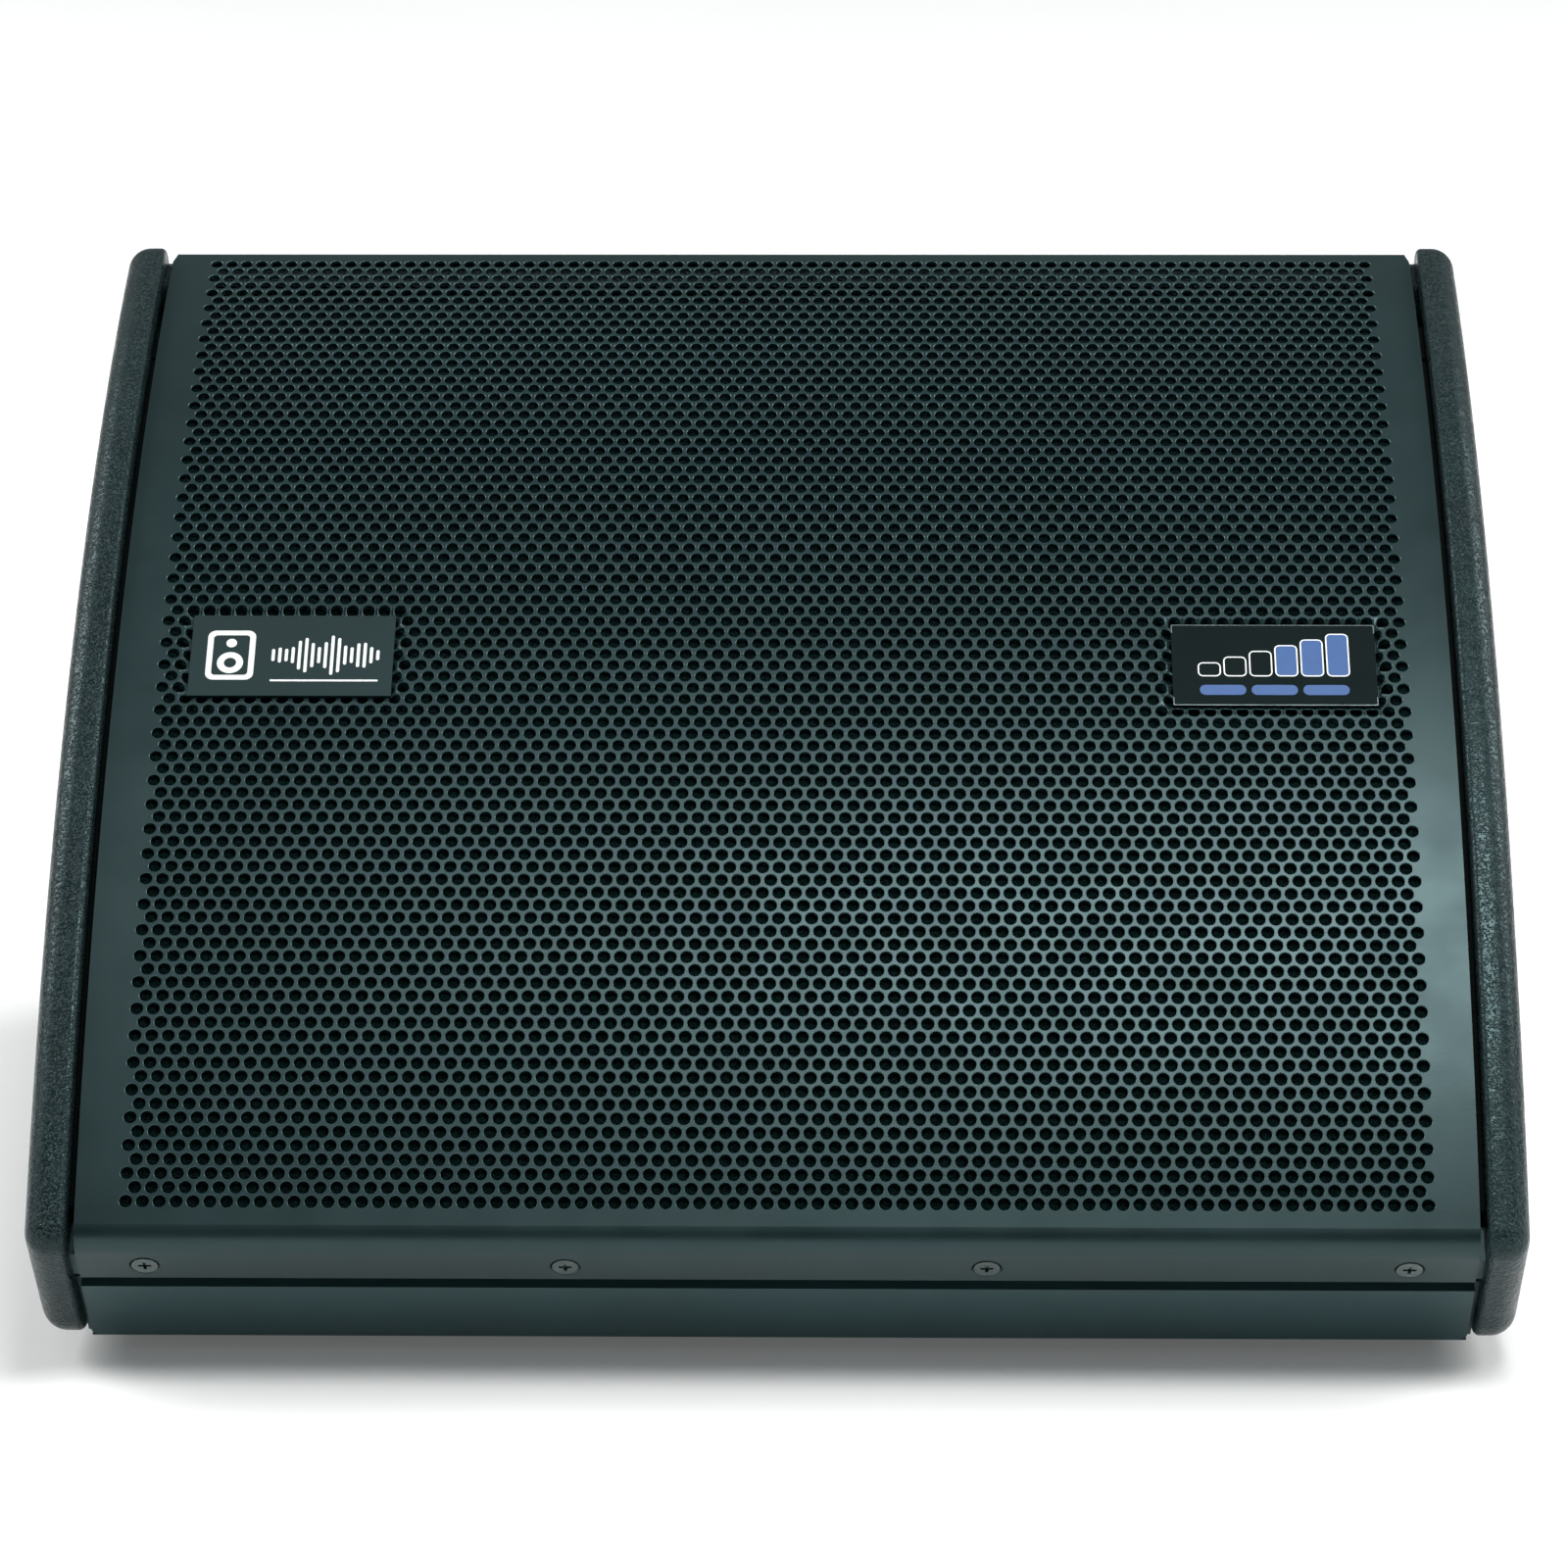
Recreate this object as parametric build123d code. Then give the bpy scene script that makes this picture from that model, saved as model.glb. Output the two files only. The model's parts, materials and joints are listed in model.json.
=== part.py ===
from build123d import *

import math
import os

# Stage monitor wedge: two 8 inch woofers and a horn behind a curved steel grille, in a
# plywood cabinet with an amplifier in its back. Millimetres, +Z up, the grille faces -Y.
# The origin is on the floor, below the middle of the object's bounding box.

# ---- Driving dimensions -------------------------------------------------------------
SLOPE = 35.0  # of the grille's crown, from the floor
HOLE_PITCH = 6.0  # of the perforated grille, which sets its outline
GRILLE_RADIUS = 795.0  # the grille's outer face is one arc, seen from the side
GRILLE_HALF_ARC = 39.75 * HOLE_PITCH
GRILLE_HALF_WIDTH = 41.5 * HOLE_PITCH
SHEET = 1.5
INNER_HALF_WIDTH = 251.5  # between the side panels
PANEL = 15.0  # plywood
SIDE_PROUD = 7.0  # of the side panels over the grille's arc
FRONT_PLANE = 231.0  # of the front lip and board, down the slope from the crown
FRONT_PROUD = 4.0
REAR_PROUD = 1.4
FOOT_HEIGHT = 8.0
SIDE_LIFT = 2.0  # of the side panels' lower edge over the bottom panel

LIP_LOW = -57.3  # heights along the crown's normal, from the crown
BOARD_HIGH = -63.6
BOARD_LOW = -98.7
LIP_SCREW = -49.0
BOARD_TOP = -44.0
GROOVE_DEPTH = 6.0
BOARD_INSET = 2.0
BOARD_CORNER = 4.0
BAFFLE_FACE = -48.0
REAR_PANEL = 18.0
FLANGE_DEPTH = 25.0  # of the grille's rear flange
RAIL = (170.0, 190.0)  # the top rail's place up the slope
BATTEN = 12.0
BRACE = 12.0
BRACE_END = 5.0  # up the slope
TOP_NOTCH = (1.4, 4.0, 5.0)  # cut off the upper rear corners: across, forward, down
SCREW_ROW = (-225.0, -75.0, 75.0, 225.0)

FOAM = 5.0
FOAM_ARC = (-223.0, 206.0)  # covered by the foam, along the arc from the crown
POCKET = (82.0, 43.0, 2.0)
BADGE = (76.0, 37.5, 1.5)
BADGE_LEFT = (-183.5, 4.5)  # across, and up the slope
BADGE_RIGHT = (183.5, 0.8)

WOOFER_X, WOOFER_V = 114.0, -97.0
WOOFER_CUTOUT = 92.5
WOOFER_SCREWS, WOOFER_SCREW_CIRCLE = 8, 98.0
HORN_V = 78.0
HORN_CUTOUT = (198.0, 108.0)
PORT_X, PORT_V = 170.0, 95.0
PORT_BORE, PORT_WALL, PORT_LENGTH = 24.0, 3.0, 85.0

PLATE = (362.0, 114.0, 2.0)
PLATE_MIDDLE = 86.0  # above the floor
PLATE_DEPTH = 10.0  # below the rear panel's outer face
PLATE_OPENING = (336.0, 88.0)
HANDLE = (130.0, 44.0, 34.0)
HANDLE_MIDDLE = 234.0
HANDLE_WALL = 2.5
FIT = 0.2  # play round parts that are set into one another
BIG = 600.0  # past every edge of the object

# ---- Places worked out from them ----------------------------------------------------
SIN, COS = math.sin(math.radians(SLOPE)), math.cos(math.radians(SLOPE))
CROWN_Z = FOOT_HEIGHT + FRONT_PLANE * SIN - BOARD_LOW * COS
END_ANGLE = math.degrees(GRILLE_HALF_ARC / GRILLE_RADIUS)
TOP_EDGE_V = GRILLE_RADIUS * math.sin(math.radians(END_ANGLE))
TOP_EDGE_W = GRILLE_RADIUS * (math.cos(math.radians(END_ANGLE)) - 1)
BODY_REAR = TOP_EDGE_V * COS - TOP_EDGE_W * SIN  # behind the crown
TOP_EDGE_Z = CROWN_Z + TOP_EDGE_V * SIN + TOP_EDGE_W * COS
REAR_FACE = BODY_REAR - SHEET  # of the rear panel
REAR_INNER = REAR_FACE - REAR_PANEL
OUTER_HALF_WIDTH = INNER_HALF_WIDTH + PANEL
FLOOR_INSIDE = FOOT_HEIGHT + PANEL
BAFFLE_BACK = BAFFLE_FACE - PANEL
BOARD_INNER = PANEL - FRONT_PLANE


# ---- Helpers ------------------------------------------------------------------------
def box(x, y, z):
    """A box between three pairs of coordinates."""
    size = [high - low for low, high in (x, y, z)]
    return Pos(*[(low + high) / 2 for low, high in (x, y, z)]) * Box(*size)


def disc(radius, low, high, bore=0.0):
    """A round plate or tube about +Z, between two heights."""
    solid = Pos(0, 0, (low + high) / 2) * Cylinder(radius, high - low)
    if bore:
        solid -= Pos(0, 0, (low + high) / 2) * Cylinder(bore, high - low + 2)
    return solid


def turned(*points):
    """A solid turned about +Z from an outline of (radius, height) points."""
    outline = make_face(Polyline(*points, close=True))
    return revolve(Plane.XZ * outline, Axis.Z)


def around(count, radius, start=0.0):
    """Locations spaced evenly round +Z."""
    step = 360 / count
    return [Rot(0, 0, start + step * k) * Pos(radius, 0, 0) for k in range(count)]


def side_view(shape, x_low, x_high):
    """Extrudes an outline drawn in the side view (Y across, Z up) along X."""
    return Pos(x_low, 0, 0) * extrude(Plane.YZ * shape, x_high - x_low)


def slab(v, w):
    """A rectangle in the side view, square to the slope, between two v and two w."""
    middle = Pos(sum(v) / 2, sum(w) / 2)
    return TILT * (middle * Rectangle(v[1] - v[0], w[1] - w[0]))


def above(z, below=False):
    """All of the side view over, or under, a height."""
    return Pos(0, z + (-BIG if below else BIG)) * Rectangle(4 * BIG, 2 * BIG)


def before(y):
    """All of the side view in front of a place."""
    return Pos(y - BIG, 0) * Rectangle(2 * BIG, 4 * BIG)


def shell(radius, thickness, across, along):
    """Part of a curved sheet over the slope: its width, and its length along the arc."""
    ring = Circle(radius) - Circle(radius - thickness)
    ring = TILT * (Pos(0, -GRILLE_RADIUS) * ring)
    low, high = [GRILLE_RADIUS * math.sin(s / GRILLE_RADIUS) for s in along]
    return side_view(ring & slab((low, high), (-BIG / 2, BIG / 2)), *across)


def on_slope(x, v, w=0.0):
    """A location whose +Z is the crown's normal, from the crown."""
    return SLOPE_FRAME * Pos(x, v, w)


def on_rear(x, z, inward=0.0):
    """A location on the rear panel's face: +Z points out of the back, +Y up."""
    plane = Plane(origin=(x, CROWN_Y + REAR_FACE - inward, z), x_dir=(-1, 0, 0), z_dir=(0, 1, 0))
    return plane.location


def cross_recess(head, top):
    """The two crossed slots in a screw's head."""
    blade = Box(head, head / 4, head / 2)
    return Pos(0, 0, top) * (blade + Rot(0, 0, 90) * blade)


def pan_screw(radius, head, height, length):
    """A screw whose head stands on z = 0."""
    solid = disc(head, 0, height) + disc(radius, -length, height / 2)
    return solid - cross_recess(head, height)


def countersunk_screw(radius, head, length):
    """A screw whose head is flush with z = 0."""
    solid = turned((0, 0), (head, 0), (radius, radius - head), (radius, -length), (0, -length))
    return solid - cross_recess(head, 0)


def countersink(radius, head, length):
    """The hole that a countersunk screw sits in, a little larger all round."""
    wide, narrow = head + FIT, radius + FIT
    return turned((0, 1), (wide, 1), (wide, 0), (narrow, narrow - wide), (narrow, -length), (0, -length))


def save(name, *solids):
    """Writes one node as parts/NAME.step."""
    shape = Compound(children=[s for solid in solids for s in solid.solids()])
    shape.label = name
    export_step(shape, f"parts/{name}.step")


# ---- Side panels and the crown's place ----------------------------------------------
CORNER = 10.0
LOW_CORNER = 20.0
TOP_CORNER = 12.0
REAR_LOW_CORNER = 12.0
OUTER_ROUND = 9.0
INNER_ROUND = 2.0


def side_outline(crown_y):
    """A side panel's outline in the side view."""
    tilt = Pos(crown_y, CROWN_Z) * Rot(0, 0, SLOPE)
    arc = tilt * (Pos(0, -GRILLE_RADIUS) * Circle(GRILLE_RADIUS + SIDE_PROUD))
    front = tilt * (Pos(BIG - FRONT_PLANE - FRONT_PROUD, 0) * Rectangle(2 * BIG, 4 * BIG))
    face = arc & front & before(crown_y + BODY_REAR + REAR_PROUD) & above(FOOT_HEIGHT + SIDE_LIFT)
    low_front, low_rear = face.vertices().sort_by(Axis.Y)[:2].sort_by(Axis.X)
    high_front, high_rear = face.vertices().sort_by(Axis.Y)[2:].sort_by(Axis.X)
    for corner, radius in (
        (low_front, LOW_CORNER),
        (low_rear, REAR_LOW_CORNER),
        (high_front, CORNER),
        (high_rear, TOP_CORNER),
    ):
        face = fillet(face.vertices().sort_by_distance(corner)[0], radius)
    return face


OUTLINE_BOX = side_outline(0.0).bounding_box()
CROWN_Y = -(OUTLINE_BOX.min.X + OUTLINE_BOX.max.X) / 2
TILT = Pos(CROWN_Y, CROWN_Z) * Rot(0, 0, SLOPE)
SLOPE_FRAME = Pos(0, CROWN_Y, CROWN_Z) * Rot(SLOPE, 0, 0)


def side_panel(side):
    """A plywood side, rounded over its outer edge and eased on its inner one."""
    panel = side_view(side_outline(CROWN_Y), INNER_HALF_WIDTH, OUTER_HALF_WIDTH)
    outer = panel.faces().sort_by(Axis.X)[-1].edges()
    panel = fillet(outer, OUTER_ROUND)
    inner = panel.faces().sort_by(Axis.X)[0].edges()
    panel = fillet(inner, INNER_ROUND)
    return panel if side > 0 else mirror(panel, Plane.YZ)


# ---- Cabinet ------------------------------------------------------------------------
PILOT = 2.5  # radius of the holes that wood screws go into
SCREW_SHANK = 2.2


def full_width(outline):
    return side_view(outline, -INNER_HALF_WIDTH, INNER_HALF_WIDTH)


def lip_screw_places():
    """Front and rear grille screws; +Z points out of the sheet."""
    front = [SLOPE_FRAME * Pos(x, -FRONT_PLANE, LIP_SCREW) * Rot(90, 0, 0) for x in SCREW_ROW]
    rear_z = TOP_EDGE_Z - 0.6 * FLANGE_DEPTH
    rear = [on_rear(x, rear_z, -SHEET) for x in SCREW_ROW]
    return front + rear


GRILLE_SCREW, GRILLE_HEAD, GRILLE_SCREW_LENGTH = 2.3, 4.7, 14.0


def lip_screw_holes():
    hole = countersink(GRILLE_SCREW, GRILLE_HEAD, GRILLE_SCREW_LENGTH + 1)
    return [place * hole for place in lip_screw_places()]


def notch_prisms(half_width, radius):
    """What rounding a board's two lower corners takes off, seen square to the front."""
    cuts = []
    for side in (-1, 1):
        corner = Pos(side * (half_width - radius / 2), -radius / 2) * Rectangle(radius, radius)
        corner -= Pos(side * (half_width - radius), 0) * Circle(radius)
        upright = SLOPE_FRAME * Pos(0, -FRONT_PLANE - 1, BOARD_LOW + radius) * Rot(90, 0, 0)
        cuts.append(upright * extrude(corner, -2 * PANEL))
    return cuts


def front_board():
    """The board under the grille's lip, with a shadow groove between the two."""
    profile = slab((-FRONT_PLANE, BOARD_INNER), (1.3 * BOARD_LOW, BOARD_TOP)) & above(FOOT_HEIGHT)
    profile -= slab((-FRONT_PLANE - 1, SHEET - FRONT_PLANE), (LIP_LOW - 0.1, 0))
    profile -= slab((-FRONT_PLANE - 1, GROOVE_DEPTH - FRONT_PLANE), (BOARD_HIGH, LIP_LOW))
    board = full_width(profile)
    edge = slab((-FRONT_PLANE - 1, 2 * BOARD_INSET - FRONT_PLANE), (1.5 * BOARD_LOW, BOARD_HIGH))
    strip = side_view(edge, INNER_HALF_WIDTH - BOARD_INSET, INNER_HALF_WIDTH + 1)
    board -= [strip, mirror(strip, Plane.YZ)]
    board -= notch_prisms(INNER_HALF_WIDTH - BOARD_INSET, BOARD_CORNER)
    return board - lip_screw_holes()


FOOT_X, FOOT_FRONT, FOOT_REAR = 205.0, -85.0, 165.0
FOOT_RADIUS = 16.0
PAN_HEAD, PAN_HEIGHT = 4.0, 2.2


def foot_places():
    return [Pos(x, CROWN_Y + y, 0) for x in (-FOOT_X, FOOT_X) for y in (FOOT_FRONT, FOOT_REAR)]


def bottom_panel():
    front = slab((BOARD_INNER, BIG), (-BIG, BIG))
    outline = front & above(FOOT_HEIGHT) & above(FLOOR_INSIDE, below=True)
    panel = full_width(outline & before(CROWN_Y + REAR_INNER))
    return panel - [place * disc(PILOT, FOOT_HEIGHT - 1, FLOOR_INSIDE + 1) for place in foot_places()]


def rubber_feet():
    """Four tapered feet, each with a recess for its screw's head."""
    outline = [(2.6, 4), (6.5, 4), (6.5, 0), (14, 0), (FOOT_RADIUS, 2.5)]
    foot = turned(*outline, (FOOT_RADIUS, FOOT_HEIGHT), (2.6, FOOT_HEIGHT))
    return [place * foot for place in foot_places()]


def under_grille(depth):
    """The side view's region lower than a depth under the grille's outer face."""
    return TILT * (Pos(0, -GRILLE_RADIUS) * Circle(GRILLE_RADIUS - depth))


def rear_panel():
    """The back, with a stepped recess for the amplifier and a hole for the handle."""
    thick = before(CROWN_Y + REAR_FACE) - before(CROWN_Y + REAR_INNER)
    outline = thick & above(FOOT_HEIGHT) & under_grille(2 * SHEET)
    outline = fillet(outline.vertices().sort_by(Axis.Y)[:2].sort_by(Axis.X)[-1], REAR_LOW_CORNER)
    panel = full_width(outline)
    width, height = PLATE[0] + 2, PLATE[1] + 2
    recess = PLATE_DEPTH + PLATE[2]
    middle = on_rear(0, PLATE_MIDDLE)
    panel -= middle * box((-width / 2, width / 2), (-height / 2, height / 2), (-recess, 1))
    width, height = PLATE_OPENING
    panel -= middle * box((-width / 2, width / 2), (-height / 2, height / 2), (-BIG, 1))
    panel -= [middle * place * disc(PILOT, -BIG, 0) for place in plate_screw_places()]
    width, height = HANDLE[0] + 2 * FIT, HANDLE[1] + 2 * FIT
    middle = on_rear(0, HANDLE_MIDDLE)
    hole = extrude(RectangleRounded(width, height, 12 + FIT), -2 * REAR_PANEL)
    panel -= middle * hole
    panel -= [middle * place * disc(PILOT, -REAR_PANEL - 1, 1) for place in handle_screw_places()]
    inner, outer = GRILLE_HALF_WIDTH - TOP_NOTCH[0], INNER_HALF_WIDTH + 1
    depth = (CROWN_Y + REAR_INNER - 1, CROWN_Y + REAR_FACE + 1)
    notch = box((inner, outer), depth, (TOP_EDGE_Z - TOP_NOTCH[2], TOP_EDGE_Z + 1))
    panel -= [notch, mirror(notch, Plane.YZ)]
    return panel - lip_screw_holes()


def baffle():
    """The board that the woofers, horn and ports are screwed to."""
    flat = slab((BOARD_INNER, BIG), (BAFFLE_BACK, BAFFLE_FACE)) & before(CROWN_Y + REAR_INNER)
    board = full_width(flat)
    through = (BAFFLE_BACK - 1, BAFFLE_FACE + 1)
    for side in (-1, 1):
        woofer = on_slope(side * WOOFER_X, WOOFER_V)
        board -= woofer * disc(WOOFER_CUTOUT, *through)
        for place in woofer_screw_places():
            board -= woofer * place * disc(PILOT, *through)
        board -= on_slope(side * PORT_X, PORT_V) * disc(PORT_BORE + PORT_WALL + FIT, *through)
    horn = on_slope(0, HORN_V, BAFFLE_FACE)
    board -= horn * extrude(RectangleRounded(*HORN_CUTOUT, 12), PANEL + 1, both=True)
    return board - [horn * place * disc(PILOT, -PANEL - 1, 1) for place in horn_screw_places()]


def top_rail():
    """The batten that carries the grille's upper edge."""
    return full_width(slab(RAIL, (BAFFLE_FACE, 0)) & under_grille(SHEET + FOAM + FIT))


def grille_battens():
    """Two strips along the side panels that the grille's edges rest on."""
    outline = slab((BOARD_INNER + 2, RAIL[0] - 2), (BAFFLE_FACE, 0)) & under_grille(SHEET + FOAM + FIT)
    batten = side_view(outline, INNER_HALF_WIDTH - BATTEN, INNER_HALF_WIDTH)
    return [batten, mirror(batten, Plane.YZ)]


def center_brace():
    """An upright between the baffle and the bottom, with a round window."""
    region = slab((BOARD_INNER, BRACE_END), (-BIG, BAFFLE_BACK)) & above(FLOOR_INSIDE)
    rear_end = CROWN_Y + BRACE_END * COS - BAFFLE_BACK * SIN
    region = region & before(rear_end)
    window = Pos(rear_end - 80, FLOOR_INSIDE + 55) * Circle(30)
    return side_view(region - window, -BRACE / 2, BRACE / 2)


def damping_wadding():
    pad = box((-220, 220), (CROWN_Y + 45, CROWN_Y + 125), (FLOOR_INSIDE, FLOOR_INSIDE + 14))
    return fillet(pad.edges().filter_by(Axis.Z), 8)


# ---- Grille -------------------------------------------------------------------------
LIP_BEND = 10.0
REAR_BEND = 2.5


def grille():
    """A curved sheet with a front lip, a rear flange and two pressed badge pockets.
    The 6 mm perforation is left solid here."""
    arc = TILT * (Pos(0, -GRILLE_RADIUS) * Circle(GRILLE_RADIUS))
    front = TILT * (Pos(BIG - FRONT_PLANE, 0) * Rectangle(2 * BIG, 4 * BIG))
    outline = arc & front & before(CROWN_Y + BODY_REAR) & above(0)
    high_front, high_rear = outline.vertices().sort_by(Axis.Y)[-2:].sort_by(Axis.X)
    outline = fillet(high_front, LIP_BEND)
    outline = fillet(outline.vertices().sort_by_distance(high_rear)[0], REAR_BEND)
    sheet = outline - offset(outline, -SHEET)
    face_and_lip = slab((-BIG, RAIL[0]), (LIP_LOW, BIG))
    flange = above(TOP_EDGE_Z - FLANGE_DEPTH) - before(CROWN_Y)
    sheet &= face_and_lip + flange
    solid = side_view(sheet, -GRILLE_HALF_WIDTH, GRILLE_HALF_WIDTH)
    for x, v in (BADGE_LEFT, BADGE_RIGHT):
        solid += pocket_block(x, v, SHEET, -SHEET / 2, -POCKET[2] - SHEET)
        solid -= pocket_block(x, v, 0, 1, -POCKET[2])
    solid -= grille_corner_cuts()
    return solid - lip_screw_holes()


def grille_corner_cuts():
    """Upright wedges that slant the sheet's two upper rear corners."""
    width, forward = TOP_NOTCH[:2]
    rear = CROWN_Y + BODY_REAR
    slope = width / forward
    corners = [(GRILLE_HALF_WIDTH + 1, rear - forward - 1 / slope), (GRILLE_HALF_WIDTH + 1, rear + 1)]
    corners.append((GRILLE_HALF_WIDTH - width - slope, rear + 1))
    wedge = extrude(make_face(Polyline(*corners, close=True)), TOP_EDGE_Z + BIG)
    return [wedge, mirror(wedge, Plane.YZ)]


def pocket_block(x, v, margin, high, low):
    """A badge pocket's outline grown sideways, between two heights over the arc."""
    width, height = POCKET[:2]
    across = (x - width / 2 - margin, x + width / 2 + margin)
    along = (v - height / 2 - margin, v + height / 2 + margin)
    return shell(GRILLE_RADIUS + high, high - low, across, along)


def badge(x, v):
    width, height, thickness = BADGE
    radius = GRILLE_RADIUS - POCKET[2] + thickness + 0.05
    return shell(radius, thickness, (x - width / 2, x + width / 2), (v - height / 2, v + height / 2))


def grille_foam():
    """A sheet of open foam against the back of the grille."""
    half = GRILLE_HALF_WIDTH - 3
    foam = shell(GRILLE_RADIUS - SHEET - 0.1, FOAM, (-half, half), FOAM_ARC)
    for x, v in (BADGE_LEFT, BADGE_RIGHT):
        foam -= pocket_block(x, v, SHEET + FIT, 1, -POCKET[2] - SHEET - FIT)
    return foam


def grille_screws():
    one = countersunk_screw(GRILLE_SCREW, GRILLE_HEAD, GRILLE_SCREW_LENGTH)
    return [place * one for place in lip_screw_places()]


# ---- Woofers (axis +Z out of the baffle, z = 0 on its face) --------------------------
COIL_RADIUS = 19.3  # of the former
CONE_RIM = 78.0
SPIDER_SHELF = -38.0
TOP_PLATE = (-61.0, -54.0)
MAGNET = (-74.0, -61.0)
YOKE = (-81.0, -74.0)


def woofer_screw_places():
    return around(WOOFER_SCREWS, WOOFER_SCREW_CIRCLE, 22.5)


def basket():
    """Pressed steel frame: flange, six-window cone and the seat for the top plate."""
    shelf = SPIDER_SHELF
    seat = TOP_PLATE[1]
    frame = turned(
        (104, 0), (104, 4), (92, 4), (92, 1), (84.5, 1), (84.5, -1.5), (58.5, shelf),
        (50, shelf), (50, shelf - 2), (57, shelf - 2), (47, seat + 2), (25, seat + 2),
        (25, seat), (50, seat), (90, -1), (91, 0),
    )
    frame -= [Pos(0, 0, -20) * place * Box(60, 34, 24) for place in around(6, 78)]
    return frame - [place * disc(PILOT, -1, 5) for place in woofer_screw_places()]


def cone():
    neck = COIL_RADIUS + 0.05
    return turned((neck, -33.5), (neck, -32), (73, 0.2), (CONE_RIM, 0.2), (CONE_RIM, -0.8), (73.5, -0.8))


def dust_cap():
    """A shallow dome over the cone's neck."""
    rim, rise, wall, height = 26.0, 8.0, 0.8, -27.8
    radius = (rim**2 + rise**2) / (2 * rise)
    dome = Sphere(radius) - Sphere(radius - wall)
    dome = Pos(0, 0, height + rise - radius) * dome
    return dome & disc(rim + 1, height, height + rise + 1)


def surround():
    """A half-roll rubber edge between the cone's rim and the frame."""
    middle = (CONE_RIM + 84.7) / 2
    roll = Circle(4.2) - Circle(3.2)
    roll &= Pos(0, 3) * Rectangle(9, 6)
    outline = Pos(middle, 1) * roll
    outline += Pos(76.1, 0.7) * Rectangle(4.2, 1)
    outline += Pos(88.1, 1.6) * Rectangle(7, 1.2)
    return revolve(Plane.XZ * outline, Axis.Z)


def spider():
    """The corrugated cloth disc that centres the coil."""
    inner, outer, waves, height, wall = COIL_RADIUS + 0.4, 50.5, 5, 1.6, 0.6
    step = (outer - inner) / (2 * waves)
    tops = [(inner + step * k, SPIDER_SHELF + wall + height * (k % 2)) for k in range(2 * waves + 1)]
    tops.append((57.5, SPIDER_SHELF + wall))
    low = [(r, h - wall) for r, h in reversed(tops)]
    return turned(*tops, *low)


def voice_coil():
    """The former with its winding."""
    former = disc(COIL_RADIUS, -66, -31, bore=COIL_RADIUS - 0.4)
    winding = disc(COIL_RADIUS + 0.5, -64, -51, bore=COIL_RADIUS - 0.2)
    return former + winding


def top_plate():
    return disc(46, *TOP_PLATE, bore=COIL_RADIUS + 1.1)


def magnet():
    ring = disc(47.5, *MAGNET, bore=26)
    return chamfer(ring.edges().filter_by(GeomType.CIRCLE).group_by(SortBy.RADIUS)[-1], 1)


def yoke():
    """The back plate and its vented pole."""
    pole = disc(COIL_RADIUS - 0.85, YOKE[1] - 1, TOP_PLATE[1] - 0.5)
    return disc(44, *YOKE) + pole - disc(5, YOKE[0] - 1, TOP_PLATE[1])


WOOFER_PARTS = {
    "basket": basket,
    "surround": surround,
    "cone": cone,
    "dust_cap": dust_cap,
    "spider": spider,
    "voice_coil": voice_coil,
    "top_plate": top_plate,
    "magnet": magnet,
    "yoke": yoke,
}


def woofer_place(side):
    return on_slope(side * WOOFER_X, WOOFER_V, BAFFLE_FACE)


def woofer_screws():
    one = pan_screw(SCREW_SHANK, 4.2, 2.4, 17)
    places = [woofer_place(side) * place for side in (-1, 1) for place in woofer_screw_places()]
    return [place * Pos(0, 0, 4) * one for place in places]


# ---- Horn, compression driver and ports ----------------------------------------------
HORN_FLANGE = (224.0, 134.0, 5.0)
HORN_DEPTH = 55.0
THROAT = 13.0
HORN_WALL = 3.0
DRIVER_RADIUS = 38.0
DRIVER_BACK = -HORN_DEPTH - 29
COVER = (36.0, 12.0, 2.0)  # radius, height, wall


def horn_screw_places():
    return [Pos(x, y, 0) for x in (-106, 0, 106) for y in (-61, 61)]


def horn():
    """A moulded waveguide: a flange, a flared throat and a round seat for the driver."""
    width, height, thick = HORN_FLANGE
    flange = extrude(RectangleRounded(width, height, 10), thick)

    def flare(grow):
        mouth = RectangleRounded(176 + 2 * grow, 88 + 2 * grow, 10 + grow)
        waist = RectangleRounded(84 + 2 * grow, 44 + 2 * grow, 10 + grow)
        throat = RectangleRounded(2 * (THROAT + grow), 2 * (THROAT + grow), THROAT + grow - 0.2)
        levels = [(thick, mouth), (-0.45 * HORN_DEPTH, waist), (-HORN_DEPTH, throat)]
        return loft([Pos(0, 0, level) * section for level, section in levels])

    seat = disc(DRIVER_RADIUS, -HORN_DEPTH, 5 - HORN_DEPTH)
    body = flange + flare(HORN_WALL) + seat - flare(0)
    body -= disc(THROAT - 0.2, -HORN_DEPTH - 1, 1 - HORN_DEPTH)
    return body - [place * disc(PILOT, -1, thick + 1) for place in horn_screw_places()]


def driver_housing():
    """The compression driver's magnet and plates, bored for the throat."""
    return disc(DRIVER_RADIUS, DRIVER_BACK, -HORN_DEPTH, bore=THROAT)


def driver_back_cover():
    radius, height, wall = COVER
    low = DRIVER_BACK - height
    return disc(radius, low, DRIVER_BACK) - disc(radius - wall, low + wall, DRIVER_BACK + 1)


def driver_diaphragm():
    """A titanium dome behind the throat, free of the housing by its travel."""
    rim, rise, wall = 24.0, 6.5, 0.4
    top = DRIVER_BACK - 0.6
    radius = (rim**2 + rise**2) / (2 * rise)
    dome = Pos(0, 0, top - rise + radius) * (Sphere(radius) - Sphere(radius - wall))
    return (dome & disc(rim + 1, top - rise - 1, top)) + disc(rim + 4, top - wall, top, bore=rim - 0.6)


def horn_place():
    return on_slope(0, HORN_V, BAFFLE_FACE)


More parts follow.
